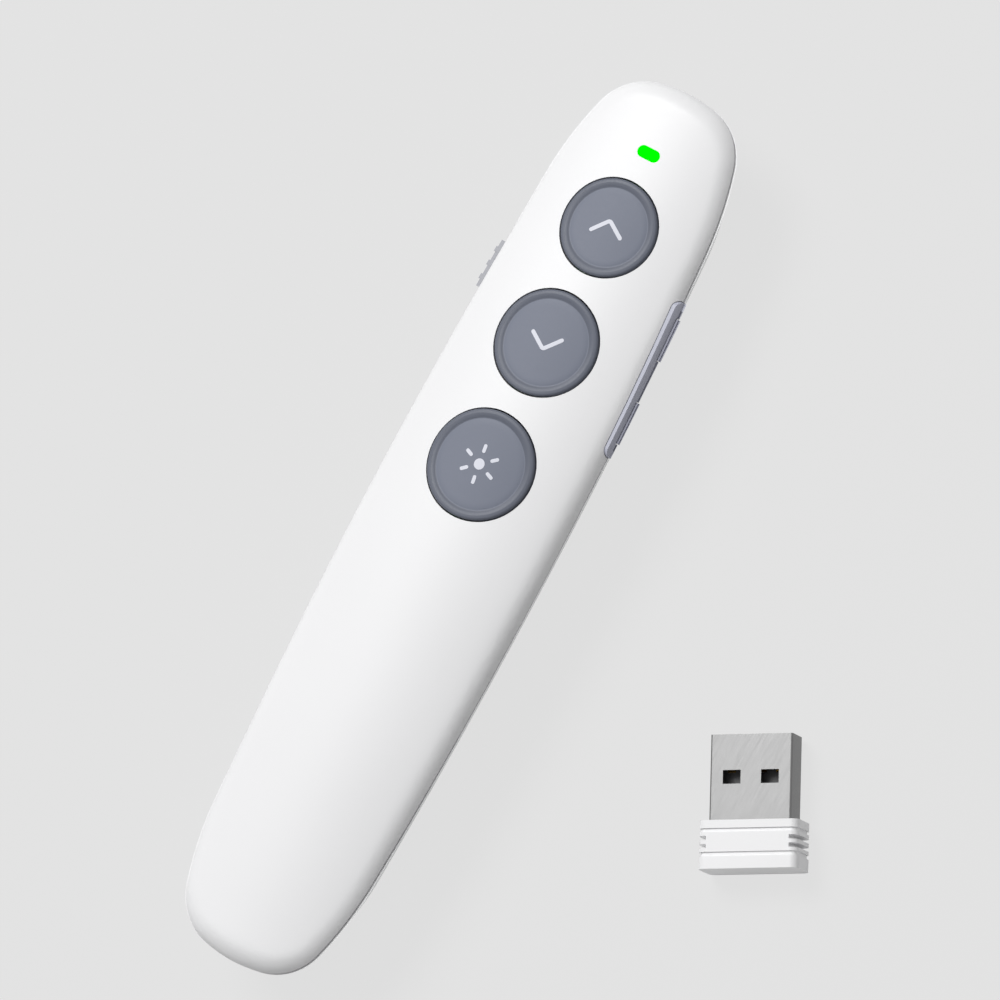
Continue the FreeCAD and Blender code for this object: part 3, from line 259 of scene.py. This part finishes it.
def lit_pipe(name, tint):
    """Clear light pipe lit from below: an even bright glow, lightly mottled, with no gloss."""
    made, tree = start(name)
    place = put(tree, "ShaderNodeTexCoord").outputs["Object"]
    haze = put(tree, "ShaderNodeTexNoise", Vector=place, Scale=1 / (0.8 * MM))
    glow = put(tree, "ShaderNodeMapRange", Value=haze.outputs[0], n1=0.3, n2=0.7, n3=0.9, n4=1.0)
    skin = put(tree, "ShaderNodeBsdfPrincipled", Base_Color=shade(tint, 0.08), Roughness=0.3, IOR=1.49,
               Emission_Color=shade(tint, 1.0), Emission_Strength=glow.outputs[0])
    skin.inputs["Specular IOR Level"].default_value = 0.0
    return close(made, tree, skin)


def clear(name, tint, roughness):
    """Clear or tinted polished plastic or glass."""
    made, tree = start(name)
    place = put(tree, "ShaderNodeTexCoord").outputs["Object"]
    wave = put(tree, "ShaderNodeTexNoise", Vector=place, Scale=1 / (1.5 * MM))
    dull = put(tree, "ShaderNodeMapRange", Value=wave.outputs[0], n1=0.3, n2=0.7, n3=roughness,
               n4=roughness + 0.04)
    skin = put(tree, "ShaderNodeBsdfPrincipled", Base_Color=shade(tint, 1.0), Roughness=dull.outputs[0],
               IOR=1.49)
    skin.inputs["Transmission Weight"].default_value = 0.75
    return close(made, tree, skin)


def sleeved_cell(name):
    """Battery can: nickel ends and a plain slate-blue sleeve with a pale end, no words."""
    made, tree = start(name)
    low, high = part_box("aaa_cell")
    place = put(tree, "ShaderNodeTexCoord").outputs["Object"]
    axis = put(tree, "ShaderNodeSeparateXYZ", Vector=place)
    along = put(tree, "ShaderNodeMapRange", Value=axis.outputs["Y"], n1=low.y, n2=high.y, n3=0.0, n4=1.0)
    bands = put(tree, "ShaderNodeValToRGB", Fac=along.outputs[0])
    ramp = bands.color_ramp
    ramp.interpolation = "CONSTANT"
    stops = ((0.0, "#C9C8C4"), (0.02, "#5B7186"), (0.86, "#D3D5D6"), (0.955, "#C9C8C4"))
    while len(ramp.elements) < len(stops):
        ramp.elements.new(0.5)
    for element, (where, text) in zip(ramp.elements, stops):
        element.position = where
        element.color = linear(text) + (1.0,)
    scuff = put(tree, "ShaderNodeTexNoise", Vector=place, Scale=1 / (4 * MM), Detail=3.0)
    dull = put(tree, "ShaderNodeMapRange", Value=scuff.outputs[0], n1=0.3, n2=0.7, n3=0.22, n4=0.38)
    skin = put(tree, "ShaderNodeBsdfPrincipled", Base_Color=bands.outputs[0], Roughness=dull.outputs[0],
               Metallic=0.6)
    return close(made, tree, skin)


FINISHES = {}


def finish(slot):
    """The material of a record slot, made once."""
    if slot not in FINISHES:
        c = bpy.context.scene.clicker_colours
        makers = {
            # ABS, fine satin texture: a calm white with a broad soft sheen
            "shell_white": lambda: moulded("abs_white_satin", c.shell, 0.42, 0.25, 0.10),
            # ABS in blue-grey, satin
            "button_grey": lambda: moulded("abs_blue_grey_satin", c.button, 0.50, 0.22, 0.12, 0.3),
            # The raised rim is a little smoother than the middle; its colour is a darker copy of the button
            # colour, painted shade on the rim
            "button_rim_painted_shade": lambda: moulded("abs_blue_grey_rim", shade(c.button, 0.70), 0.42, 0.22, 0.08, 0.3),
            # ABS in pale lilac, satin: the frame of the side keys, lighter than the keys
            "strip_lilac": lambda: moulded("abs_lilac_satin", c.strip, 0.45, 0.22, 0.12),
            "key_grey": lambda: moulded("abs_key_grey_satin", c.key, 0.45, 0.22, 0.12),
            "knob_grey": lambda: moulded("abs_slide_grey_satin", c.slide, 0.45, 0.22, 0.12),
            # ABS, coarse matt texture on a part that is only seen with the cover off
            "holder_grey": lambda: moulded("abs_dark_matt", linear("#55575B"), 0.62, 0.35, 0.35),
            "board_green": lambda: solder_mask("solder_mask_green", linear("#0F5A33")),
            # Transfer-moulded epoxy, matt black with a fine grain
            "chip_black": lambda: moulded("epoxy_black", linear("#1B1B1D"), 0.5, 0.2, 0.3),
            # Drawn steel, dulled: no bright point shows through the gap of a button
            "crystal_can": lambda: metal("drawn_steel_can", linear("#8C8B88"), 0.50, "X"),
            # Stamped steel, satin, with rolling lines along the body
            "switch_frame": lambda: metal("stamped_steel", linear("#B9B8B4"), 0.33, "Y"),
            # Nylon, moulded: a waxy, even sheen
            "plunger_black": lambda: moulded("nylon_black", linear("#202022"), 0.5, 0.2, 0.2),
            "plunger_white": lambda: moulded("nylon_white", linear("#DCD9CF"), 0.5, 0.2, 0.2),
            # Clear epoxy, moulded: nearly smooth
            "led_body": lambda: moulded("epoxy_clear_white", linear("#E8EAD8"), 0.3, 0.3, 0.1),
            # Acrylic, lit from below: a flat bright green
            "light_green": lambda: lit_pipe("acrylic_lit_green", c.light),
            # Brass, turned: fine rings across the barrel
            "laser_brass": lambda: metal("turned_brass", linear("#C9A25C"), 0.22, "X"),
            # Acrylic, polished: the lens clear, the window dark red
            "lens_clear": lambda: clear("acrylic_lens", linear("#EEF4F8"), 0.02),
            "window_red": lambda: clear("acrylic_dark_red", linear("#5A0F14"), 0.05),
            # Steel, zinc plated: a dull silver
            "screw_steel": lambda: metal("zinc_plated_steel", linear("#A9A9AC"), 0.34, "Y"),
            "cell_steel": lambda: sleeved_cell("cell_sleeve"),
            # Spring steel, nickel plated: warm and bright
            "contact_nickel": lambda: metal("nickel_plated_spring", linear("#CFCBC2"), 0.22, "Y"),
            # Deep-drawn steel with nickel plate: grey with long soft reflections along the plug
            "plug_steel": lambda: metal("nickel_plated_sheet", linear("#7A7A7A"), 0.42, "Y", 0.08),
            # Glass-filled nylon, moulded: matt dark grey
            "tongue_black": lambda: moulded("nylon_carrier", linear("#4C4C4E"), 0.5, 0.2, 0.2),
            # Copper strip, gold plated: smooth and warm
            "pin_gold": lambda: metal("gold_plated_strip", linear("#D2A84F"), 0.2, "Y"),
            # Pad-printed ink: pale and matt, a little proud of the button
            "sign": lambda: moulded("pad_print_ink", c.sign, 0.5, 0.15, 0.1),
        }
        FINISHES[slot] = makers[slot]()
    return FINISHES[slot]


SLOTS = {entry["node"]: entry["material_slot"] for entry in frame["record"]["subparts"]}
BODIES = {node: body for body, members in frame["record"]["behaviour"]["bodies"].items() for node in members}


# Mesh helpers
def new_piece(name, mesh, body, slot, material=None):
    """A finished piece at the origin, riding on a body and linked to a record slot."""
    item = bpy.data.objects.new(name, mesh)
    bpy.context.scene.collection.objects.link(item)
    mesh.materials.clear()
    mesh.materials.append(material or finish(slot))
    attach(item, body)
    return item


def skinned(node, angle=32):
    """A smooth copy of a CAD node: its loose triangles are joined and its crisp edges are kept."""
    mesh = NODES[node].data.copy()
    mesh.name = node + "_skin"
    form = bmesh.new()
    form.from_mesh(mesh)
    bmesh.ops.remove_doubles(form, verts=form.verts, dist=0.0015 * MM)
    bmesh.ops.dissolve_degenerate(form, edges=form.edges, dist=0.0005 * MM)
    bmesh.ops.recalc_face_normals(form, faces=form.faces)
    form.to_mesh(mesh)
    form.free()
    for layer in list(mesh.uv_layers):
        mesh.uv_layers.remove(layer)
    if mesh.has_custom_normals:
        attribute = mesh.attributes.get("custom_normal")
        if attribute:
            mesh.attributes.remove(attribute)
    mesh.shade_smooth()
    mesh.set_sharp_from_angle(angle=math.radians(angle))
    item = new_piece(node + "_skin", mesh, BODIES[node], SLOTS[node])
    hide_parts(node)
    return item


def surface_of(item, from_above=True):
    """A function that gives the height of a piece's top, or of its under side, at a plan point."""
    mesh = item.data
    tree = BVHTree.FromPolygons([v.co for v in mesh.vertices], [tuple(p.vertices) for p in mesh.polygons])
    way = -1 if from_above else 1

    def height(x, y):
        hit = tree.ray_cast(Vector((x, y, -way)), Vector((0, 0, way)))[0]
        if hit is None:
            raise RuntimeError("nothing of %s lies at that point" % item.name)
        return hit.z

    return height


def surface_below(node):
    return surface_of(NODES[node])


def surface_under(node):
    return surface_of(NODES[node], from_above=False)


def ribbon(path, half, across=8, cap=7):
    """A flat line with round ends: rows of plan points across a middle line of runs and bends."""
    lengths = [0.0]
    for a, b in zip(path, path[1:]):
        lengths.append(lengths[-1] + (b - a).length)
    total = lengths[-1]

    def at(s):
        s = min(max(s, 0.0), total)
        i = 0
        while i < len(path) - 2 and s > lengths[i + 1]:
            i += 1
        way = (path[i + 1] - path[i]).normalized()
        return path[i] + way * (s - lengths[i]), way

    stations = [(half - half * math.cos(math.pi / 2 * k / cap)) - half for k in range(1, cap)]
    inner = max(2, int(total / (half * 0.45)))
    stations += [total * k / inner for k in range(inner + 1)]
    stations += [total + half * math.sin(math.pi / 2 * k / cap) for k in range(1, cap)]
    stations = sorted(set(round(s, 9) for s in stations))
    rows = []
    for s in stations:
        point, way = at(s)
        over = -s if s < 0 else max(0.0, s - total)
        wide = math.sqrt(max(half * half - over * over, 0.0))
        middle = point + way * (s if s < 0 else (s - total if s > total else 0.0))
        side = Vector((-way.y, way.x))
        rows.append([middle + side * wide * (2 * k / across - 1) for k in range(across + 1)])
    return rows


def printed(rows, height, film):
    """Rows of plan points as a thin closed pad that follows the surface under it."""
    form = bmesh.new()
    layers = []
    for lift in (film, -film):
        layer = []
        for row in rows:
            layer.append([form.verts.new((p.x, p.y, height(p.x, p.y) + lift)) for p in row])
        layers.append(layer)
    top, under = layers
    count = len(rows[0])
    for i in range(len(rows) - 1):
        for k in range(count - 1):
            form.faces.new((top[i][k], top[i + 1][k], top[i + 1][k + 1], top[i][k + 1]))
            form.faces.new((under[i][k], under[i][k + 1], under[i + 1][k + 1], under[i + 1][k]))
        for k in (0, count - 1):
            form.faces.new((top[i][k], top[i + 1][k], under[i + 1][k], under[i][k]))
    for i in (0, len(rows) - 1):
        for k in range(count - 1):
            form.faces.new((top[i][k], top[i][k + 1], under[i][k + 1], under[i][k]))
    bmesh.ops.recalc_face_normals(form, faces=form.faces)
    return form


def chevron_path(arm, opening, bend, turn, centre, point_up):
    """Middle line of a chevron: two arms joined by a small bend."""
    half = opening / 2
    apex = Vector((0, arm * math.cos(half) / 2))
    left = Vector((-math.sin(half), -math.cos(half)))
    right = Vector((math.sin(half), -math.cos(half)))
    path = [apex + left * arm]
    middle = apex + Vector((0, -bend / math.sin(half)))
    sweep = math.pi / 2 - half
    for k in range(9):
        angle = math.pi / 2 + sweep - 2 * sweep * k / 8
        path.append(middle + Vector((math.cos(angle), math.sin(angle))) * bend)
    path.append(apex + right * arm)
    spin = Matrix.Rotation(turn + (0 if point_up else math.pi), 2)
    return [spin @ p + centre for p in path]


def plan_centre(node):
    low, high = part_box(node)
    return Vector(((low.x + high.x) / 2, (low.y + high.y) / 2))


def ray_tree():
    """Geometry Nodes: one ray repeated round a circle, with the ink set on it."""
    tree = bpy.data.node_groups.new("sun_rays", "GeometryNodeTree")
    face = tree.interface
    face.new_socket("Geometry", in_out="OUTPUT", socket_type="NodeSocketGeometry")
    for name, kind in (("Ray", "NodeSocketObject"), ("Rays", "NodeSocketInt"), ("Place", "NodeSocketFloat"),
                       ("Turn", "NodeSocketFloat"), ("Ink", "NodeSocketMaterial")):
        face.new_socket(name, in_out="INPUT", socket_type=kind)
    inlet = put(tree, "NodeGroupInput")
    outlet = put(tree, "NodeGroupOutput")
    ring = put(tree, "GeometryNodeMeshCircle", Vertices=inlet.outputs["Rays"], Radius=inlet.outputs["Place"])
    shape = put(tree, "GeometryNodeObjectInfo", Object=inlet.outputs["Ray"])
    where = put(tree, "GeometryNodeInputPosition")
    facing = put(tree, "FunctionNodeAlignRotationToVector", {"axis": "X"}, Vector=where.outputs[0])
    spots = put(tree, "GeometryNodeInstanceOnPoints", Points=ring.outputs[0],
                Instance=shape.outputs["Geometry"], Rotation=facing.outputs[0])
    real = put(tree, "GeometryNodeRealizeInstances", Geometry=spots.outputs[0])
    axis = put(tree, "ShaderNodeCombineXYZ", Z=inlet.outputs["Turn"])
    turned = put(tree, "GeometryNodeTransform", Geometry=real.outputs[0], Rotation=axis.outputs[0])
    inked = put(tree, "GeometryNodeSetMaterial", Geometry=turned.outputs[0], Material=inlet.outputs["Ink"])
    tree.links.new(inked.outputs[0], outlet.inputs[0])
    return tree


def grown(name, tree, values):
    """Run a Geometry Nodes tree and return its result as a plain mesh."""
    carrier = bpy.data.objects.new(name + "_carrier", bpy.data.meshes.new(name))
    bpy.context.scene.collection.objects.link(carrier)
    modifier = carrier.modifiers.new(name, "NODES")
    modifier.node_group = tree
    for item in tree.interface.items_tree:
        if item.in_out == "INPUT" and item.name in values:
            modifier[item.identifier] = values[item.name]
    ready = carrier.evaluated_get(bpy.context.evaluated_depsgraph_get())
    mesh = bpy.data.meshes.new_from_object(ready)
    bpy.data.objects.remove(carrier)
    if not mesh.polygons:
        raise RuntimeError(name + " came out empty")
    return mesh


def rib_tree():
    """Geometry Nodes: one rib repeated in a row along the body, with the finish set on it."""
    tree = bpy.data.node_groups.new("grip_ribs", "GeometryNodeTree")
    face = tree.interface
    face.new_socket("Geometry", in_out="OUTPUT", socket_type="NodeSocketGeometry")
    for name, kind in (("Rib", "NodeSocketObject"), ("Ribs", "NodeSocketInt"), ("Step", "NodeSocketVector"),
                       ("First", "NodeSocketVector"), ("Finish", "NodeSocketMaterial")):
        face.new_socket(name, in_out="INPUT", socket_type=kind)
    inlet = put(tree, "NodeGroupInput")
    outlet = put(tree, "NodeGroupOutput")
    row = put(tree, "GeometryNodeMeshLine", Count=inlet.outputs["Ribs"],
              Start_Location=inlet.outputs["First"], Offset=inlet.outputs["Step"])
    shape = put(tree, "GeometryNodeObjectInfo", Object=inlet.outputs["Rib"])
    spots = put(tree, "GeometryNodeInstanceOnPoints", Points=row.outputs[0],
                Instance=shape.outputs["Geometry"])
    real = put(tree, "GeometryNodeRealizeInstances", Geometry=spots.outputs[0])
    done = put(tree, "GeometryNodeSetMaterial", Geometry=real.outputs[0], Material=inlet.outputs["Finish"])
    tree.links.new(done.outputs[0], outlet.inputs[0])
    return tree


def lathed(name, form, rows, around):
    """Close rings of points, which may start and end in a single point, into a solid form."""
    for a, b in zip(rows, rows[1:]):
        for k in range(around):
            n = (k + 1) % around
            if len(a) == 1:
                form.faces.new((a[0], b[k], b[n]))
            elif len(b) == 1:
                form.faces.new((a[k], b[0], a[n]))
            else:
                form.faces.new((a[k], b[k], b[n], a[n]))
    bmesh.ops.recalc_face_normals(form, faces=form.faces)
    mesh = bpy.data.meshes.new(name)
    form.to_mesh(mesh)
    form.free()
    return mesh


def round_bar(name, reach, radius, around=16, end=5):
    """A bar along the X axis with round ends."""
    form = bmesh.new()
    quarter = [k * math.pi / 2 / end for k in range(end + 1)]
    profile = [(-reach + radius - radius * math.cos(a), radius * math.sin(a)) for a in quarter]
    profile += [(-x, r) for x, r in reversed(profile)]
    rows = []
    for x, r in profile:
        if r < 1e-9:
            rows.append([form.verts.new((x, 0, 0))])
        else:
            rows.append([form.verts.new((x, r * math.cos(a), r * math.sin(a)))
                         for a in (2 * math.pi * k / around for k in range(around))])
    return lathed(name, form, rows, around)


def button_cap(node, p):
    """A thumb button's cap: a lathe form whose top follows the crown of the shell."""
    low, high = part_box(node)
    centre = plan_centre(node)
    radius = (high.x - low.x) / 2
    under = surface_under(node)
    height = surface_below(node)
    rim = p.rim
    crest = height(centre.x, centre.y) + p.dish

    def crowned(r, a):
        x, y = r * math.cos(a), r * math.sin(a)
        along = centre.y + y
        return crest - x * x / (2 * p.bow_across) - (along * along - centre.y ** 2) / (2 * p.bow_along)

    ring = radius - rim
    edge = p.cap_edge
    top = [(0.0, -p.dish)]
    top += [(ring * k / 6, -p.dish) for k in range(1, 6)]
    top += [(ring - p.crease * 1.2, -p.dish), (ring - p.crease * 0.55, -p.dish - p.crease_depth * 0.55),
            (ring - p.crease * 0.12, -p.dish - p.crease_depth), (ring + p.crease * 0.3, -p.dish * 0.9),
            (ring + p.crease * 0.9, -p.dish * 0.35), (ring + p.crease * 1.6, -p.dish * 0.08)]
    top += [(ring + (radius - edge - ring) * 0.7, 0.0)]
    top += [(radius - edge + edge * math.sin(k * math.pi / 12), -edge + edge * math.cos(k * math.pi / 12))
            for k in range(0, 7)]
    skirt = under(centre.x + radius * 0.985, centre.y)
    roof = under(centre.x + radius * 0.5, centre.y)
    foot = under(centre.x, centre.y)
    inner = radius - p.cap_wall
    flat = [(radius, skirt), (inner, skirt), (inner, roof), (p.stem, roof), (p.stem, foot), (0.0, foot)]
    form = bmesh.new()
    rows = []
    count = ROUND
    for r, z, follows in [(r, z, True) for r, z in top] + [(r, z, False) for r, z in flat]:
        if r == 0.0:
            rows.append([form.verts.new((centre.x, centre.y, crowned(0, 0) + z if follows else z))])
            continue
        rows.append([form.verts.new((centre.x + r * math.cos(a), centre.y + r * math.sin(a),
                                     crowned(r, a) + z if follows else z))
                     for a in (2 * math.pi * k / count for k in range(count))])
    mesh = lathed(node.replace("button", "cap"), form, rows, count)
    mesh.shade_smooth()
    mesh.set_sharp_from_angle(angle=math.radians(50))
    item = new_piece(mesh.name, mesh, BODIES[node], SLOTS[node])
    # The rim's faces take the darker copy of the button colour: painted shade on the rim
    mesh.materials.append(finish("button_rim_painted_shade"))
    for face in mesh.polygons:
        if (face.center.xy - centre).length > ring:
            face.material_index = 1
    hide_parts(node)
    return item


def signed(name, form, node):
    mesh = bpy.data.meshes.new(name)
    form.to_mesh(mesh)
    form.free()
    return new_piece(name, mesh, BODIES[node], SLOTS[node], finish("sign"))


# Operators
class CLICKER_OT_shells(bpy.types.Operator):
    """Smooth skins for the mouldings, the receiver and the turned parts"""

    bl_idname = "clicker.shells"
    bl_label = "Shells and Mouldings"

    def execute(self, context):
        for node in ("top_shell", "bottom_shell", "battery_cover", "side_strip", "side_key_upper",
                     "side_key_lower", "power_slide_knob", "light_pipe", "receiver_body", "receiver_plug",
                     "receiver_tongue", "laser_barrel", "laser_lens", "laser_window", "aaa_cell",
                     "case_screws", "battery_spring_contact", "battery_holder"):
            skinned(node)
        return {"FINISHED"}


class CLICKER_OT_caps(bpy.types.Operator):
    """Caps of the three thumb buttons"""

    bl_idname = "clicker.caps"
    bl_label = "Button Caps"

    def execute(self, context):
        for node in ("page_up_button", "page_down_button", "laser_button"):
            button_cap(node, context.scene.clicker_caps)
        return {"FINISHED"}


class CLICKER_OT_grip(bpy.types.Operator):
    """Half-round ribs in the thumb recess of the battery cover"""

    bl_idname = "clicker.grip"
    bl_label = "Grip Ribs"

    def execute(self, context):
        p = context.scene.clicker_grip
        floor = surface_under("battery_cover")(0.0, p.middle)
        pattern = bpy.data.objects.new("one_rib", round_bar("one_rib", p.width / 2, p.round))
        context.scene.collection.objects.link(pattern)
        first = (0.0, p.middle - p.pitch * (p.count - 1) / 2, floor)
        values = {"Rib": pattern, "Ribs": p.count, "First": first, "Step": (0.0, p.pitch, 0.0),
                  "Finish": finish("shell_white")}
        mesh = grown("cover_grip_ribs", rib_tree(), values)
        bpy.data.objects.remove(pattern)
        mesh.shade_smooth()
        new_piece("cover_grip_ribs", mesh, BODIES["battery_cover"], SLOTS["battery_cover"])
        return {"FINISHED"}


class CLICKER_OT_finishes(bpy.types.Operator):
    """Materials for the CAD nodes that show as they are"""

    bl_idname = "clicker.finishes"
    bl_label = "Finishes"

    def execute(self, context):
        for node, item in NODES.items():
            if not item.hide_render:
                item.data.materials.clear()
                item.data.materials.append(finish(SLOTS[node]))
        return {"FINISHED"}


class CLICKER_OT_signs(bpy.types.Operator):
    """Printed chevrons and sun on the three thumb buttons"""

    bl_idname = "clicker.signs"
    bl_label = "Button Signs"

    def execute(self, context):
        p = context.scene.clicker_signs
        for node, point_up in (("page_up_button", True), ("page_down_button", False)):
            path = chevron_path(p.arm, p.opening, p.bend, p.turn, plan_centre(node), point_up)
            rows = ribbon(path, p.stroke / 2)
            cap = bpy.data.objects[node.replace("button", "cap")]
            signed(node.replace("button", "chevron"), printed(rows, surface_of(cap), p.film), node)
        node = "laser_button"
        height = surface_of(bpy.data.objects["laser_cap"])
        centre = plan_centre(node)
        reach = Vector((1e-7, 0))
        dot = ribbon([centre - reach, centre + reach], p.dot, 14, 12)
        signed("laser_sun_dot", printed(dot, height, p.film), node)
        straight = Vector(((p.ray - p.ray_width) / 2, 0))
        flat = printed(ribbon([-straight, straight], p.ray_width / 2), lambda x, y: 0.0, p.film)
        one = bpy.data.meshes.new("one_ray")
        flat.to_mesh(one)
        flat.free()
        pattern = bpy.data.objects.new("one_ray", one)
        context.scene.collection.objects.link(pattern)
        values = {"Ray": pattern, "Rays": p.rays, "Place": p.ray_middle, "Turn": p.turn + math.pi / 2,
                  "Ink": finish("sign")}
        mesh = grown("laser_sun_rays", ray_tree(), values)
        bpy.data.objects.remove(pattern)
        for vertex in mesh.vertices:
            x, y = vertex.co.x + centre.x, vertex.co.y + centre.y
            vertex.co = (x, y, height(x, y) + vertex.co.z)
        new_piece("laser_sun_rays", mesh, BODIES[node], SLOTS[node], finish("sign"))
        return {"FINISHED"}


def looked_at(tree):
    """One where a ray comes from the camera, a reflection or a clear part, and nought elsewhere."""
    rays = put(tree, "ShaderNodeLightPath")
    seen = put(tree, "ShaderNodeMath", {"operation": "MAXIMUM"}, n0=rays.outputs["Is Camera Ray"],
               n1=rays.outputs["Is Glossy Ray"])
    return put(tree, "ShaderNodeMath", {"operation": "MAXIMUM"}, n0=seen.outputs[0],
               n1=rays.outputs["Is Transmission Ray"]).outputs[0]


class CLICKER_OT_stage(bpy.types.Operator):
    """Floor, lamps and camera"""

    bl_idname = "clicker.stage"
    bl_label = "Stage"

    def execute(self, context):
        p = context.scene.clicker_stage
        scene = context.scene
        form = bmesh.new()
        bmesh.ops.create_grid(form, x_segments=1, y_segments=1, size=FLOOR_HALF)
        mesh = bpy.data.meshes.new("floor")
        form.to_mesh(mesh)
        form.free()
        floor = bpy.data.objects.new("floor", mesh)
        scene.collection.objects.link(floor)
        mesh.transform(Matrix.Translation((0.0, 0.0, -p.floor_gap)))
        made, tree = start("painted_pale_table")
        seen = put(tree, "ShaderNodeEmission", Color=shade(p.floor, 1.0), Strength=1.0)
        plain = put(tree, "ShaderNodeBsdfDiffuse", Color=shade(p.floor, 0.93))
        held = put(tree, "ShaderNodeMath", {"operation": "MULTIPLY"}, n0=looked_at(tree), n1=FLOOR_SHOWN)
        glow = put(tree, "ShaderNodeMath", {"operation": "MAXIMUM"}, n0=held.outputs[0], n1=p.glow)
        mixed = put(tree, "ShaderNodeMixShader", n0=glow.outputs[0], n1=plain.outputs[0], n2=seen.outputs[0])
        under = put(tree, "ShaderNodeNewGeometry").outputs["Backfacing"]
        open_below = put(tree, "ShaderNodeMixShader", n0=under, n1=mixed.outputs[0],
                         n2=put(tree, "ShaderNodeBsdfTransparent").outputs[0])
        mesh.materials.append(close(made, tree, open_below))

        world = bpy.data.worlds.new("studio")
        world.use_nodes = True
        tree = world.node_tree
        tree.nodes.clear()
        back = put(tree, "ShaderNodeBackground", Color=shade(p.floor, 1.0), Strength=1.0)
        sky = put(tree, "ShaderNodeBackground", Color=(1, 1, 1, 1), Strength=p.sky)
        mixed = put(tree, "ShaderNodeMixShader", n0=looked_at(tree), n1=sky.outputs[0],
                    n2=back.outputs[0])
        put(tree, "ShaderNodeOutputWorld", Surface=mixed.outputs[0])
        scene.world = world

        for name, place, size, power in (("key_lamp", KEY_PLACE, KEY_SIZE, p.key),
                                         ("top_lamp", TOP_PLACE, TOP_SIZE, p.top)):
            lamp = bpy.data.lights.new(name, "AREA")
            lamp.size = size
            lamp.energy = power
            item = bpy.data.objects.new(name, lamp)
            scene.collection.objects.link(item)
            item.location = place
            item.rotation_euler = (-Vector(place)).to_track_quat("-Z", "Y").to_euler()

        outward = Vector((math.sin(p.side), 0, math.cos(p.side)))
        across = Vector((math.cos(p.side), 0, -math.sin(p.side)))
        along = Vector((0, 1, 0))
        right = across * math.cos(p.roll) + along * math.sin(p.roll)
        up = -across * math.sin(p.roll) + along * math.cos(p.roll)
        aim = Vector(AIM)
        lens = bpy.data.cameras.new("camera")
        lens.sensor_width = 36.0
        lens.lens = lens.sensor_width * p.distance / p.span
        lens.clip_start = 0.01
        camera = bpy.data.objects.new("camera", lens)
        scene.collection.objects.link(camera)
        turn = Matrix((right, up, outward)).transposed().to_4x4()
        camera.matrix_world = Matrix.Translation(aim + outward * p.distance) @ turn
        scene.camera = camera
        scene.view_settings.view_transform = "Standard"
        return {"FINISHED"}


class CLICKER_PT_panel(bpy.types.Panel):
    """Operators that dress the clicker"""

    bl_idname = "CLICKER_PT_panel"
    bl_label = "Presentation Clicker"
    bl_space_type = "VIEW_3D"
    bl_region_type = "UI"
    bl_category = "Clicker"

    def draw(self, context):
        for operator in OPERATORS:
            self.layout.operator(operator.bl_idname)


OPERATORS = (CLICKER_OT_shells, CLICKER_OT_caps, CLICKER_OT_signs, CLICKER_OT_grip, CLICKER_OT_finishes,
             CLICKER_OT_stage)
GROUPS = (
    ("clicker_colours", CLICKER_PG_colours),
    ("clicker_caps", CLICKER_PG_caps),
    ("clicker_signs", CLICKER_PG_signs),
    ("clicker_grip", CLICKER_PG_grip),
    ("clicker_stage", CLICKER_PG_stage),
)


def register():
    for _, group in GROUPS:
        bpy.utils.register_class(group)
    for operator in OPERATORS + (CLICKER_PT_panel,):
        bpy.utils.register_class(operator)
    for name, group in GROUPS:
        setattr(bpy.types.Scene, name, PointerProperty(type=group))


def unregister():
    for name, _ in GROUPS:
        delattr(bpy.types.Scene, name)
    for operator in (CLICKER_PT_panel,) + tuple(reversed(OPERATORS)):
        bpy.utils.unregister_class(operator)
    for _, group in reversed(GROUPS):
        bpy.utils.unregister_class(group)


def main():
    register()
    for call in (bpy.ops.clicker.shells, bpy.ops.clicker.caps, bpy.ops.clicker.signs, bpy.ops.clicker.grip,
                 bpy.ops.clicker.finishes, bpy.ops.clicker.stage):
        call()
    bpy.context.view_layer.update()


if __name__ == "__main__":
    main()
